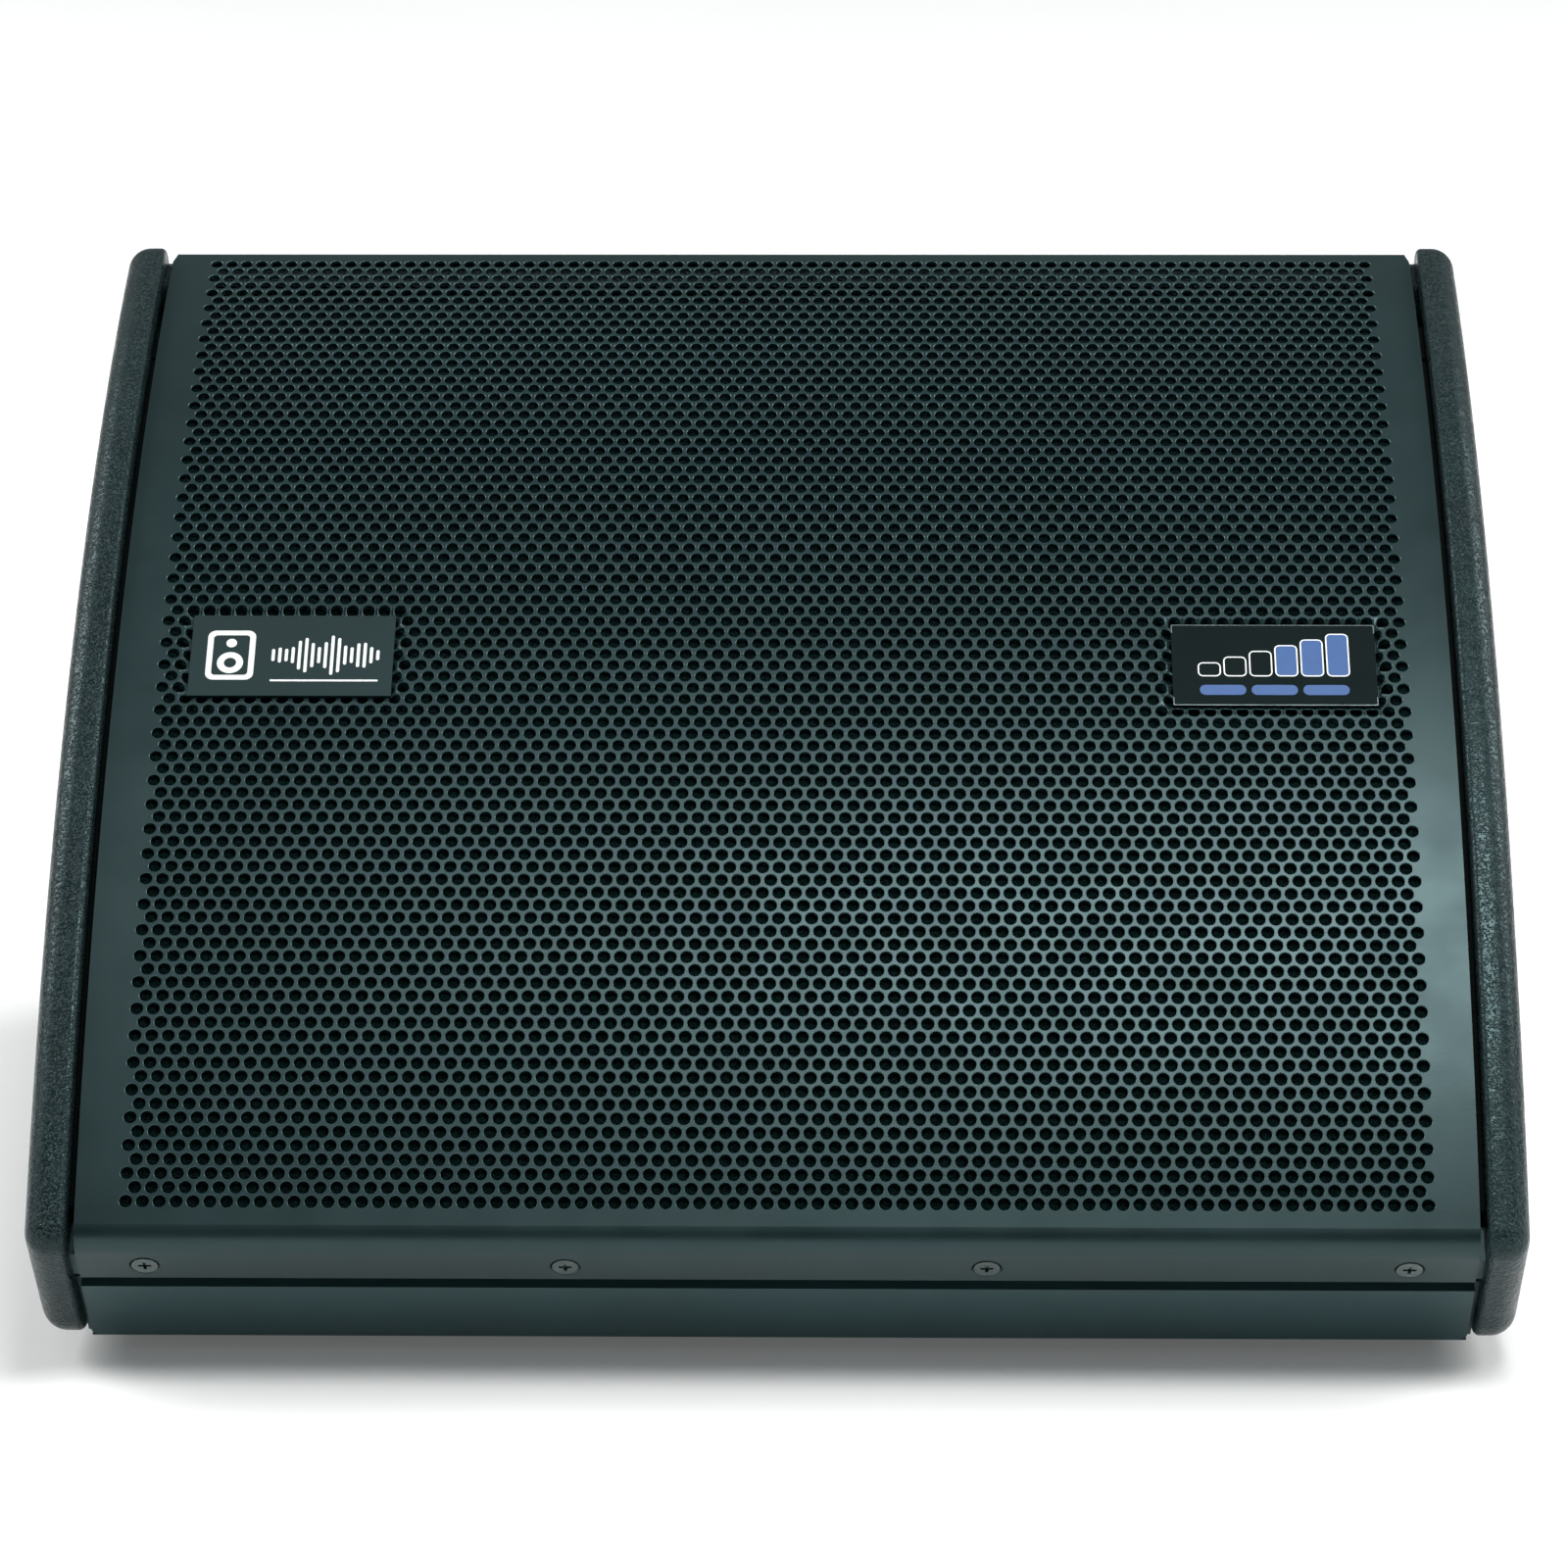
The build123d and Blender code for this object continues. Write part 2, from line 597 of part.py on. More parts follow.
def port_tubes():
    """Two bass-reflex ports with flared mouths."""
    flange = disc(36, 0, 3, bore=PORT_BORE)
    tube = disc(PORT_BORE + PORT_WALL, -PORT_LENGTH, 0.5, bore=PORT_BORE)
    port = flange + tube
    mouth = port.edges().filter_by(GeomType.CIRCLE).group_by(Axis.Z)[-1].sort_by(SortBy.RADIUS)[0]
    port = fillet(mouth, 2.5)
    return [on_slope(side * PORT_X, PORT_V, BAFFLE_FACE) * port for side in (-1, 1)]


# ---- Amplifier (seen from behind: +X right, +Y up, +Z out; z = 0 on the plate's face) -
CORNER_SCREW = (175.0, 51.0)
BOARD = (320.0, 84.0, 1.6)
BOARD_DROP = 32.0  # of the circuit board behind the plate's face
SINK = (-168.0, -63.0)
SINK_HALF_HEIGHT = 42.0
SINK_DEPTH = 9.0
XLR_INPUT, XLR_LINK = (-25.0, 21.0), (15.0, 21.0)
XLR_FLANGE = (26.0, 31.0, 2.0)
XLR_BARREL = 12.0
KNOBS = {"volume_knob": (58.0, 21.0), "tone_knob": (94.0, 21.0)}
BUTTONS = {"ground_lift_button": (-25.0, -25.0), "eq_button": (15.0, -25.0)}
BUTTON_TRAVEL = 2.5
LED_ROW = [(58.0 + 18 * k, -25.0) for k in range(3)]
INLET = (145.0, -20.0)
INLET_CAVITY = (24.6, 16.6, 16.0)
ROCKER = (145.0, 24.0)
ROCKER_HOLE = (19.4, 12.9)
ROCKER_PIVOT = -3.0
ROCKER_PIN = 1.5
SHAFT, SHAFT_PLAY = 3.0, 0.06
KNOB_RADIUS, KNOB_BASE, KNOB_TOP = 9.0, 1.0, 9.5


def plate_place():
    return on_rear(0, PLATE_MIDDLE, PLATE_DEPTH)


def plate_screw_places():
    x, y = CORNER_SCREW
    return [Pos(s * x, t * y, 0) for s in (-1, -0.35, 0.35, 1) for t in (-1, 1)]


def handle_screw_places():
    width, height = HANDLE[:2]
    return [Pos(s * (width / 2 + 6), t * height / 3, 0) for s in (-1, 1) for t in (-1, 1)]


def tablet(width, height, low, high, corner=0.5):
    """A block with rounded corners between two heights."""
    return Pos(0, 0, low) * extrude(RectangleRounded(width, height, corner), high - low)


def amp_plate():
    width, height, thick = PLATE
    plate = tablet(width, height, -thick, 0, 3)
    through = (-thick - 1, 1)
    plate -= [place * disc(PILOT, *through) for place in plate_screw_places()]
    for x, y in (XLR_INPUT, XLR_LINK):
        plate -= Pos(x, y) * disc(XLR_BARREL + FIT, *through)
    for x, y in KNOBS.values():
        plate -= Pos(x, y) * disc(3.7, *through)
    for x, y in BUTTONS.values():
        plate -= Pos(x, y) * tablet(6.6, 6.6, *through)
    for x, y in LED_ROW:
        plate -= Pos(x, y) * disc(2.5 + FIT, *through)
    plate -= Pos(*INLET) * tablet(27.4, 20.4, *through, 2)
    plate -= Pos(*ROCKER) * tablet(ROCKER_HOLE[0] + 2 + FIT, ROCKER_HOLE[1] + 2 + FIT, *through)
    return plate_place() * plate


def amp_heatsink():
    """A finned plate on the left of the amplifier."""
    base = box(SINK, (-SINK_HALF_HEIGHT, SINK_HALF_HEIGHT), (0, 3))
    count = 14
    pitch = (SINK[1] - SINK[0] - 2) / (count - 1)
    for k in range(count):
        x = SINK[0] + k * pitch
        base += box((x, x + 2), (-SINK_HALF_HEIGHT, SINK_HALF_HEIGHT), (2, SINK_DEPTH))
    return plate_place() * base


def xlr_body(back):
    """A panel connector's flange and barrel, with its two screw holes."""
    width, height, thick = XLR_FLANGE
    body = tablet(width, height, 0, thick, 3) + disc(XLR_BARREL, back, 1)
    return body - [Pos(s * 9.5, s * 12, 0) * disc(1.6, -1, 3) for s in (-1, 1)]


def xlr_input():
    """Female: three pin holes in a solid face, behind a ring-shaped slot."""
    body = xlr_body(-25)
    body -= disc(9.6, -14, 3, bore=8.0)
    pins = around(3, 4.2, 90)
    return plate_place() * Pos(*XLR_INPUT) * (body - [p * disc(1.3, -12, 3) for p in pins])


def xlr_link():
    """Male: three pins in a round cup."""
    body = xlr_body(-25) - disc(9.4, -13, 3)
    for place in around(3, 4.2, -90):
        body += place * disc(1.2, -14, -3)
    return plate_place() * Pos(*XLR_LINK) * body


def mains_inlet():
    """A three-pin mains inlet in a screwed flange."""
    width, height, depth = INLET_CAVITY
    body = tablet(48, 24, 0, 2.5, 4) + tablet(27, 20, -22, 1, 2)
    body -= tablet(width, height, -depth, 3, 3)
    body -= [Pos(s * 20, 0, 0) * disc(1.7, -1, 3) for s in (-1, 1)]
    for x, y in ((-7, -2), (7, -2), (0, 3)):
        body += Pos(x, y) * tablet(2, 4, -depth - 1, -5)
    return plate_place() * Pos(*INLET) * body


def rocker_frame():
    width, height = ROCKER_HOLE
    frame = tablet(width + 5, height + 5, 0, 1.5, 1) + tablet(width + 2, height + 2, -18, 1)
    frame -= tablet(width, height, -16, 2)
    frame -= pivot_pin(ROCKER_PIN + SHAFT_PLAY, height + 3)
    return plate_place() * Pos(*ROCKER) * frame


def pivot_pin(radius, length):
    return Pos(0, 0, ROCKER_PIVOT) * Rot(90, 0, 0) * Cylinder(radius, length)


def power_rocker():
    """The rocker: two flats meeting over its pivot, one of them pressed in."""
    half = ROCKER_HOLE[0] / 2 - 1.2
    flats = [(-half, 4.4), (0, 1.4), (half, 0.4)]
    outline = make_face(Polyline(*flats, (half - 1.5, -8), (1.5 - half, -8), close=True))
    body = extrude(Plane.XZ * outline, ROCKER_HOLE[1] / 2 - 0.4, both=True)
    return plate_place() * Pos(*ROCKER) * (body + pivot_pin(ROCKER_PIN, ROCKER_HOLE[1] + 1.6))


def potentiometers():
    """Two controls: body behind the plate, bush through it, and a plain shaft."""
    pot = tablet(16, 16, -12, -PLATE[2], 1) + disc(3.5, -3, 0.6) + disc(SHAFT, 0, KNOB_TOP - 2.5)
    return [plate_place() * Pos(x, y) * pot for x, y in KNOBS.values()]


def knob(x, y):
    """A fluted knob with a pointer groove and a blind bore."""
    body = disc(KNOB_RADIUS, KNOB_BASE, KNOB_TOP)
    body = chamfer(body.edges().filter_by(GeomType.CIRCLE).group_by(Axis.Z)[-1], 0.8)
    body -= [place * disc(0.9, KNOB_BASE - 1, KNOB_TOP - 1.5) for place in around(18, KNOB_RADIUS + 0.3)]
    body -= disc(SHAFT + SHAFT_PLAY, KNOB_BASE - 1, KNOB_TOP - 2)
    body -= box((-0.6, 0.6), (2, KNOB_RADIUS + 1), (KNOB_TOP - 0.8, KNOB_TOP + 1))
    return plate_place() * Pos(x, y) * body


def button_switches():
    """The hollow bodies that the two push-buttons slide in."""
    body = tablet(10, 10, -15, -PLATE[2]) - tablet(6.6, 6.6, -13, 0)
    return [plate_place() * Pos(x, y) * body for x, y in BUTTONS.values()]


def push_button(x, y):
    cap = tablet(6, 6, -9, BUTTON_TRAVEL + 2, 0.8)
    return plate_place() * Pos(x, y) * fillet(cap.edges().group_by(Axis.Z)[-1], 0.6)


def status_leds():
    lens = disc(2.5, -6, 1) + Pos(0, 0, 1) * (Sphere(2.5) & disc(3, 0, 3))
    return [plate_place() * Pos(x, y) * lens for x, y in LED_ROW]


def amp_board():
    """The circuit board with its capacitors and coils."""
    width, height, thick = BOARD
    board = tablet(width, height, -BOARD_DROP, thick - BOARD_DROP)
    for x in (-130, -108, -86):
        board += Pos(x, 22) * disc(9, -BOARD_DROP - 25, -BOARD_DROP + 0.5)
    for x in (-125, -90):
        board += Pos(x, -18) * disc(12, -BOARD_DROP - 14, -BOARD_DROP + 0.5)
    return plate_place() * board


def board_standoffs():
    posts = [Pos(x, y) * disc(3, BOARD[2] - BOARD_DROP, -PLATE[2]) for x in (-152, 118) for y in (-36, 36)]
    return [plate_place() * post for post in posts]


def power_transformer():
    """A toroid on the circuit board's inner side."""
    low, high = -BOARD_DROP - 30, -BOARD_DROP
    ring = disc(33, low, high, bore=9)
    return plate_place() * Pos(20, 0) * fillet(ring.edges().filter_by(GeomType.CIRCLE), 5)


def carry_handle():
    """A moulded pocket with a finger lip, set into the rear panel."""
    width, height, depth = HANDLE
    rim = tablet(width + 24, height + 14, 0, 2.5, 10)
    tray = tablet(width, height, -depth, 1, 12)
    hollow = tablet(width - 2 * HANDLE_WALL, height - 2 * HANDLE_WALL, HANDLE_WALL - depth, 4, 9.5)
    lip = box((-width / 2 + 14, width / 2 - 14), (height / 2 - 9, height / 2 - 1), (-2, 2.5))
    body = rim + tray - hollow + fillet(lip.edges().filter_by(Axis.X), 2)
    body -= [place * disc(PILOT, -1, 4) for place in handle_screw_places()]
    return on_rear(0, HANDLE_MIDDLE) * body


def pan_head_screws():
    """The same 4 mm screw holds the horn, handle, feet and amplifier plate."""
    one = pan_screw(SCREW_SHANK, PAN_HEAD, PAN_HEIGHT, 11)
    places = [horn_place() * place * Pos(0, 0, HORN_FLANGE[2]) for place in horn_screw_places()]
    places += [on_rear(0, HANDLE_MIDDLE) * p * Pos(0, 0, 2.5) for p in handle_screw_places()]
    places += [place * Pos(0, 0, 4) * Rot(180, 0, 0) for place in foot_places()]
    places += [plate_place() * place for place in plate_screw_places()]
    return [place * one for place in places]


# ---- Write the nodes ----------------------------------------------------------------
os.makedirs("parts", exist_ok=True)

save("side_panel_left", side_panel(-1))
save("side_panel_right", side_panel(1))
save("badge_left", badge(*BADGE_LEFT))
save("badge_right", badge(*BADGE_RIGHT))

for part in (front_board, bottom_panel, rear_panel, baffle, top_rail, center_brace, damping_wadding):
    save(part.__name__, part())
for part in (grille, grille_foam, amp_plate, amp_heatsink, xlr_input, xlr_link, mains_inlet):
    save(part.__name__, part())
for part in (rocker_frame, power_rocker, amp_board, power_transformer, carry_handle):
    save(part.__name__, part())
for group in (rubber_feet, grille_battens, grille_screws, woofer_screws, port_tubes):
    save(group.__name__, *group())
for group in (potentiometers, button_switches, status_leds, board_standoffs, pan_head_screws):
    save(group.__name__, *group())

for hand, side in (("left", -1), ("right", 1)):
    for name, make in WOOFER_PARTS.items():
        save(f"woofer_{hand}_{name}", woofer_place(side) * make())
for part in (horn, driver_housing, driver_back_cover, driver_diaphragm):
    save(part.__name__, horn_place() * part())
for name, place in KNOBS.items():
    save(name, knob(*place))
for name, place in BUTTONS.items():
    save(name, push_button(*place))
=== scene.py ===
import json
import math

import bmesh
import bpy
import numpy as np
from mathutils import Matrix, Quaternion, Vector, noise


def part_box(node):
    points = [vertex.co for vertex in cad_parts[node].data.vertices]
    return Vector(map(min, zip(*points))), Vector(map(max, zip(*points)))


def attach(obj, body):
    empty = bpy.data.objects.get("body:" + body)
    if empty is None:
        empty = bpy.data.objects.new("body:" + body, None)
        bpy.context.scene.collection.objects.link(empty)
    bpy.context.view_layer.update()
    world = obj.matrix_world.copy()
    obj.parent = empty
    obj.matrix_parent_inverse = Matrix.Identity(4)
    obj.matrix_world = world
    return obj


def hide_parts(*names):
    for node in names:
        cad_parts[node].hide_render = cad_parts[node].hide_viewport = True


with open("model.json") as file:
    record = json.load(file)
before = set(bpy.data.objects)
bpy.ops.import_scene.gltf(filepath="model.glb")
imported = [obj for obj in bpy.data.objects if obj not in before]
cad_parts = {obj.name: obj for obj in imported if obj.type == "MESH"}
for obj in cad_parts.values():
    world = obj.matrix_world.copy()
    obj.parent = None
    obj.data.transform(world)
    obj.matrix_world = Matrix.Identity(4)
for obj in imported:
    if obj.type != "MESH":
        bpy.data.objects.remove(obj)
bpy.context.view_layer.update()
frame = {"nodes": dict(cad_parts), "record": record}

# Looks of the stage monitor wedge. Drawn sizes are in millimetres and turned into metres
# by the functions that place them; +Z is up and the grille faces -Y.
MM = 0.001

# ---- Driving dimensions, the same as the CAD's --------------------------------------
SLOPE = math.radians(35)
RADIUS = 795.0  # of the grille's outer face, seen from the side
PITCH = 6.0
ROW = PITCH * math.sqrt(3) / 2
SHEET = 1.5
LIP_PLANE = 231.0  # the front lip, down the slope from the crown
LIP_LOW = -57.3  # the lip's lower edge, out of the crown
LIP_BEND = 10.0
LIP_SCREW = -49.0
SCREW_ROW = (-225.0, -75.0, 75.0, 225.0)
SCREW_HOLE = 5.6  # radius at the sheet's face
SCREW_CELL = 8.0  # half the width of the sheet's patch round a screw hole
SCREW_SIDES = 32
LIP_STEPS = 10  # of the lip's bend
REAR_BEND = 2.5
REAR_STEPS = 6
FLANGE_DEPTH = 25.0
FLANGE_SCREW = 0.6  # how far down the flange its screws are
HALF_ARC = 39.75 * PITCH
POCKET = (82.0, 43.0, 2.0)  # across, along, deep
POCKET_SLOPE = 2.6  # width of a pocket's sloped side
BADGE = (76.0, 37.5)
BADGE_LEFT = (-183.5, 4.5)  # its middle, across and along the arc from the crown
BADGE_RIGHT = (183.5, 0.8)
BADGE_TOP = 0.45  # of the plates, below the grille's arc
TOP_NOTCH = (1.4, 4.0)  # slanted off the upper rear corners: across, forward

# ---- Perforation ---------------------------------------------------------------------
ROWS = 87
FIRST_ROW = -218.4  # along the arc from the crown
WIDE_ROW = 78  # holes; the rows between have one fewer
HOLE_RADIUS = 2.42
HOLE_EASE = 0.2  # of the holes' upper edge
HOLE_SIDES = 12
HEX_SIDES = 6  # of the metal cell round a hole
HEX_RADIUS = PITCH / math.sqrt(3)
BANDS = 4  # pieces that the perforated part is made in
EDGE_BAND = 0.1  # points this close to the sheet's side edges lie on them
TINY = 1e-6

SIN, COS = math.sin(SLOPE), math.cos(SLOPE)
GRILLE_LOW, GRILLE_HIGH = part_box("grille")
HALF_WIDTH = GRILLE_HIGH.x / MM
END_ANGLE = HALF_ARC / RADIUS
BODY_REAR = RADIUS * (math.sin(END_ANGLE - SLOPE) + SIN)
CROWN_Y = GRILLE_HIGH.y / MM - BODY_REAR
CROWN_Z = GRILLE_LOW.z / MM + LIP_PLANE * SIN - LIP_LOW * COS
TOP_EDGE_Z = CROWN_Z + RADIUS * (math.cos(END_ANGLE - SLOPE) - COS)


# ---- Placing -------------------------------------------------------------------------
def slope_to_world(points):
    """(across, up the slope, out of the crown) in mm to the shared frame in metres."""
    u, v, w = np.asarray(points, float).T
    y = CROWN_Y + v * COS - w * SIN
    z = CROWN_Z + v * SIN + w * COS
    return np.column_stack([u, y, z]) * MM


def bend_profile():
    """Where the grille's lip bend and rear bend start and are centred."""
    reach = RADIUS - LIP_BEND
    lip_angle = math.asin((LIP_BEND - LIP_PLANE) / reach)
    lip_centre = (reach * math.sin(lip_angle), reach * math.cos(lip_angle) - RADIUS)
    reach = RADIUS - REAR_BEND
    rear_angle = SLOPE + math.asin((BODY_REAR - REAR_BEND - RADIUS * SIN) / reach)
    rear_centre = (reach * math.sin(rear_angle), reach * math.cos(rear_angle) - RADIUS)
    return lip_angle, lip_centre, rear_angle, rear_centre


LIP_ANGLE, LIP_CENTRE, REAR_ANGLE, REAR_CENTRE = bend_profile()
LIP_START, REAR_START = LIP_ANGLE * RADIUS, REAR_ANGLE * RADIUS
LIP_STRAIGHT = LIP_START - LIP_BEND * (math.pi / 2 + LIP_ANGLE)
REAR_TURN = math.pi / 2 + SLOPE - REAR_ANGLE
REAR_STRAIGHT = REAR_START + REAR_BEND * REAR_TURN
LIP_END = LIP_STRAIGHT - (LIP_CENTRE[1] - LIP_LOW)
REAR_CENTRE_Z = CROWN_Z + REAR_CENTRE[0] * SIN + REAR_CENTRE[1] * COS
FLANGE_TOP = REAR_STRAIGHT + REAR_CENTRE_Z - TOP_EDGE_Z  # the flange's plane meets the top edge
FLANGE_END = FLANGE_TOP + FLANGE_DEPTH
FLANGE_SCREW_PLACE = FLANGE_TOP + FLANGE_SCREW * FLANGE_DEPTH
LIP_SCREW_PLACE = LIP_STRAIGHT - (LIP_CENTRE[1] - LIP_SCREW)


def on_sheet(u, s, depth):
    """Points on the grille: u across, s along its outer face, depth below that face."""
    u, s, depth = np.broadcast_arrays(*[np.asarray(a, float) for a in (u, s, depth)])
    angle = np.clip(s, LIP_START, REAR_START) / RADIUS
    v = (RADIUS - depth) * np.sin(angle)
    w = (RADIUS - depth) * np.cos(angle) - RADIUS
    lip = s < LIP_START
    turn = np.maximum(LIP_ANGLE - (LIP_START - s) / LIP_BEND, -math.pi / 2)
    beyond = np.maximum(LIP_STRAIGHT - s, 0)
    v = np.where(lip, LIP_CENTRE[0] + (LIP_BEND - depth) * np.sin(turn), v)
    w = np.where(lip, LIP_CENTRE[1] + (LIP_BEND - depth) * np.cos(turn) - beyond, w)
    rear = s > REAR_START
    turn = np.minimum(REAR_ANGLE + (s - REAR_START) / REAR_BEND, REAR_ANGLE + REAR_TURN)
    beyond = np.maximum(s - REAR_STRAIGHT, 0)
    v = np.where(rear, REAR_CENTRE[0] + (REAR_BEND - depth) * np.sin(turn) - beyond * SIN, v)
    w = np.where(rear, REAR_CENTRE[1] + (REAR_BEND - depth) * np.cos(turn) - beyond * COS, w)
    return slope_to_world(np.column_stack([u.ravel(), v.ravel(), w.ravel()]))


def pocket_depth(u, s, grow=0.0, slope=POCKET_SLOPE):
    """How far the two badge pockets press the sheet in; grow widens them all round."""
    depth = np.zeros(np.shape(u))
    for x, v in (BADGE_LEFT, BADGE_RIGHT):
        out = np.maximum(np.abs(u - x) - POCKET[0] / 2 - grow, np.abs(s - v) - POCKET[1] / 2 - grow)
        ease = np.clip(-out / slope, 0, 1)
        depth = np.maximum(depth, POCKET[2] * ease * ease * (3 - 2 * ease))
    return depth


# ---- Meshes --------------------------------------------------------------------------
def add_piece(name, points, faces, material, body="cabinet", smooth_angle=30):
    """A mesh piece from points in metres, riding a body."""
    mesh = bpy.data.meshes.new(name)
    mesh.from_pydata([tuple(p) for p in points], [], faces)
    mesh.validate()
    piece = bpy.data.objects.new(name, mesh)
    bpy.context.scene.collection.objects.link(piece)
    mesh.materials.append(material)
    if smooth_angle:
        mesh.shade_smooth()
        mesh.set_sharp_from_angle(angle=math.radians(smooth_angle))
    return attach(piece, body)


class Flat:
    """Points (across, along, depth) and faces of a sheet before it is bent."""

    def __init__(self):
        self.points = []
        self.faces = []
        self.rims = []
        self.index = {}

    def point(self, u, s, d):
        """The number of a point, which faces that meet there share."""
        key = (round(u, 3), round(s, 3), round(d, 3))
        if key not in self.index:
            self.index[key] = len(self.points)
            self.points.append((u, s, d))
        return self.index[key]

    def face(self, corners):
        """A face from corners (across, along, depth)."""
        self.faces.append([self.point(*c) for c in corners])

    def eased(self, corners):
        """A face on the eased edge of a hole, which has the second material: the grille's paint made
        lighter, a painted highlight along the rim.
        """
        self.rims.append(len(self.faces))
        self.face(corners)

    def panel(self, corners):
        """A face on the sheet's front and its twin on the back."""
        self.face([(u, s, 0.0) for u, s in corners])
        self.face([(u, s, SHEET) for u, s in reversed(corners)])

    def rim(self, a, b):
        """The wall between front and back along an edge."""
        self.face([(*a, 0.0), (*a, SHEET), (*b, SHEET), (*b, 0.0)])

    def piece(self, name, material):
        """The sheet bent to the grille's shape, its upper rear corners slanted off."""
        u, s, d = np.array(self.points).T
        past = np.clip((s - REAR_START) / TOP_NOTCH[1] + 1, 0, 1)
        side_edge = np.sign(u) * (HALF_WIDTH - TOP_NOTCH[0] * past)
        u = np.where(np.abs(u) > HALF_WIDTH - EDGE_BAND, side_edge, u)
        bent = on_sheet(u, s, d + pocket_depth(u, s))
        piece = add_piece(name, bent, self.faces, material)
        # The second material paints the holes' eased rims lighter, a painted highlight.
        piece.data.materials.append(RIM_HIGHLIGHT_PAINT)
        for face in self.rims:
            piece.data.polygons[face].material_index = 1
        return piece


def ring_points(u, s, radius, sides):
    """The corners of a regular polygon, one of them straight up."""
    turn = [2 * math.pi * k / sides + math.pi / 2 for k in range(sides)]
    return [(u + radius * math.cos(a), s + radius * math.sin(a)) for a in turn]


def perforated_cell(flat, u, s):
    """One hole with the hexagon of metal round it."""
    corners = ring_points(u, s, HEX_RADIUS, HEX_SIDES)
    outer = ring_points(u, s, HOLE_RADIUS + HOLE_EASE, HOLE_SIDES)
    inner = ring_points(u, s, HOLE_RADIUS, HOLE_SIDES)
    step = HOLE_SIDES // HEX_SIDES
    for k in range(HEX_SIDES):
        near = [(k * step + j) % HOLE_SIDES for j in range(step + 1)]
        edge = [corners[k], corners[(k + 1) % HEX_SIDES]]
        flat.face([(*p, 0.0) for p in edge + [outer[j] for j in reversed(near)]])
        flat.face([(*p, SHEET) for p in reversed(edge + [inner[j] for j in reversed(near)])])
    for j in range(HOLE_SIDES):
        n = (j + 1) % HOLE_SIDES
        top = [(*outer[j], 0.0), (*outer[n], 0.0)]
        neck = [(*inner[n], HOLE_EASE), (*inner[j], HOLE_EASE)]
        bottom = [(*inner[n], SHEET), (*inner[j], SHEET)]
        flat.eased(top + neck)
        flat.face(neck[::-1] + bottom)


def row_place(row):
    """A row's place along the arc and its count of holes."""
    return FIRST_ROW + row * ROW, WIDE_ROW - row % 2


def grille_band(first, last, material):
    """Perforated rows with the plain margins beside them."""
    flat = Flat()
    rise = HEX_RADIUS / 2
    for row in range(first, last):
        s, count = row_place(row)
        for k in range(count):
            perforated_cell(flat, (k - (count - 1) / 2) * PITCH, s)
        side = count / 2 * PITCH
        for sign in (-1, 1):
            marks = [(side, s - rise), (side, s + rise)]
            if row + 1 < ROWS:
                marks.append((row_place(row + 1)[1] / 2 * PITCH, s + 2 * rise))
            for (a, low), (b, high) in zip(marks, marks[1:]):
                outer = [(sign * HALF_WIDTH, low), (sign * HALF_WIDTH, high)]
                corners = [(sign * a, low), *outer, (sign * b, high)]
                flat.panel(corners if sign > 0 else corners[::-1])
                flat.rim(*outer)
    return flat.piece(f"grille_band_{first:02d}", material)


def row_edge(row, outward):
    """The zigzag of the cells' edges along the first or last row, from side to side."""
    s, count = row_place(row)
    dip = s + outward * HEX_RADIUS / 2
    zigzag = [(-HALF_WIDTH, dip), (-count / 2 * PITCH, dip)]
    for k in range(count):
        u = (k - (count - 1) / 2) * PITCH
        zigzag.append((u, s + outward * HEX_RADIUS))
        zigzag.append((u + PITCH / 2, dip))
    return zigzag + [(HALF_WIDTH, dip)]


def grille_end(row, outward, stops, name, material):
    """The plain sheet beyond the first or last row, through its bends to its edge."""
    flat = Flat()
    zigzag = row_edge(row, outward)
    first_stop = stops[0]
    screw_sides = {x + side for x in SCREW_ROW for side in (-SCREW_CELL, SCREW_CELL)}
    cuts = sorted({-HALF_WIDTH, HALF_WIDTH} | screw_sides)
    for (a, low_a), (b, low_b) in zip(zigzag, zigzag[1:]):
        corners = [(a, low_a), (b, low_b), (b, first_stop), (a, first_stop)]
        flat.panel(corners if outward > 0 else corners[::-1])
    for sign in (-1, 1):
        flat.rim((sign * HALF_WIDTH, zigzag[0][1]), (sign * HALF_WIDTH, first_stop))
    for low, high in zip(stops, stops[1:]):
        for a, b in zip(cuts, cuts[1:]):
            middle = (a + b) / 2
            if high == stops[-1] and any(abs(middle - x) < TINY for x in SCREW_ROW):
                screw_cell(flat, a, b, low, high, outward, middle)
                continue
            corners = [(a, low), (b, low), (b, high), (a, high)]
            flat.panel(corners if outward > 0 else corners[::-1])
        for sign in (-1, 1):
            flat.rim((sign * HALF_WIDTH, low), (sign * HALF_WIDTH, high))
    for a, b in zip(cuts, cuts[1:]):
        flat.rim((a, stops[-1]), (b, stops[-1]))
    return flat.piece(name, material)


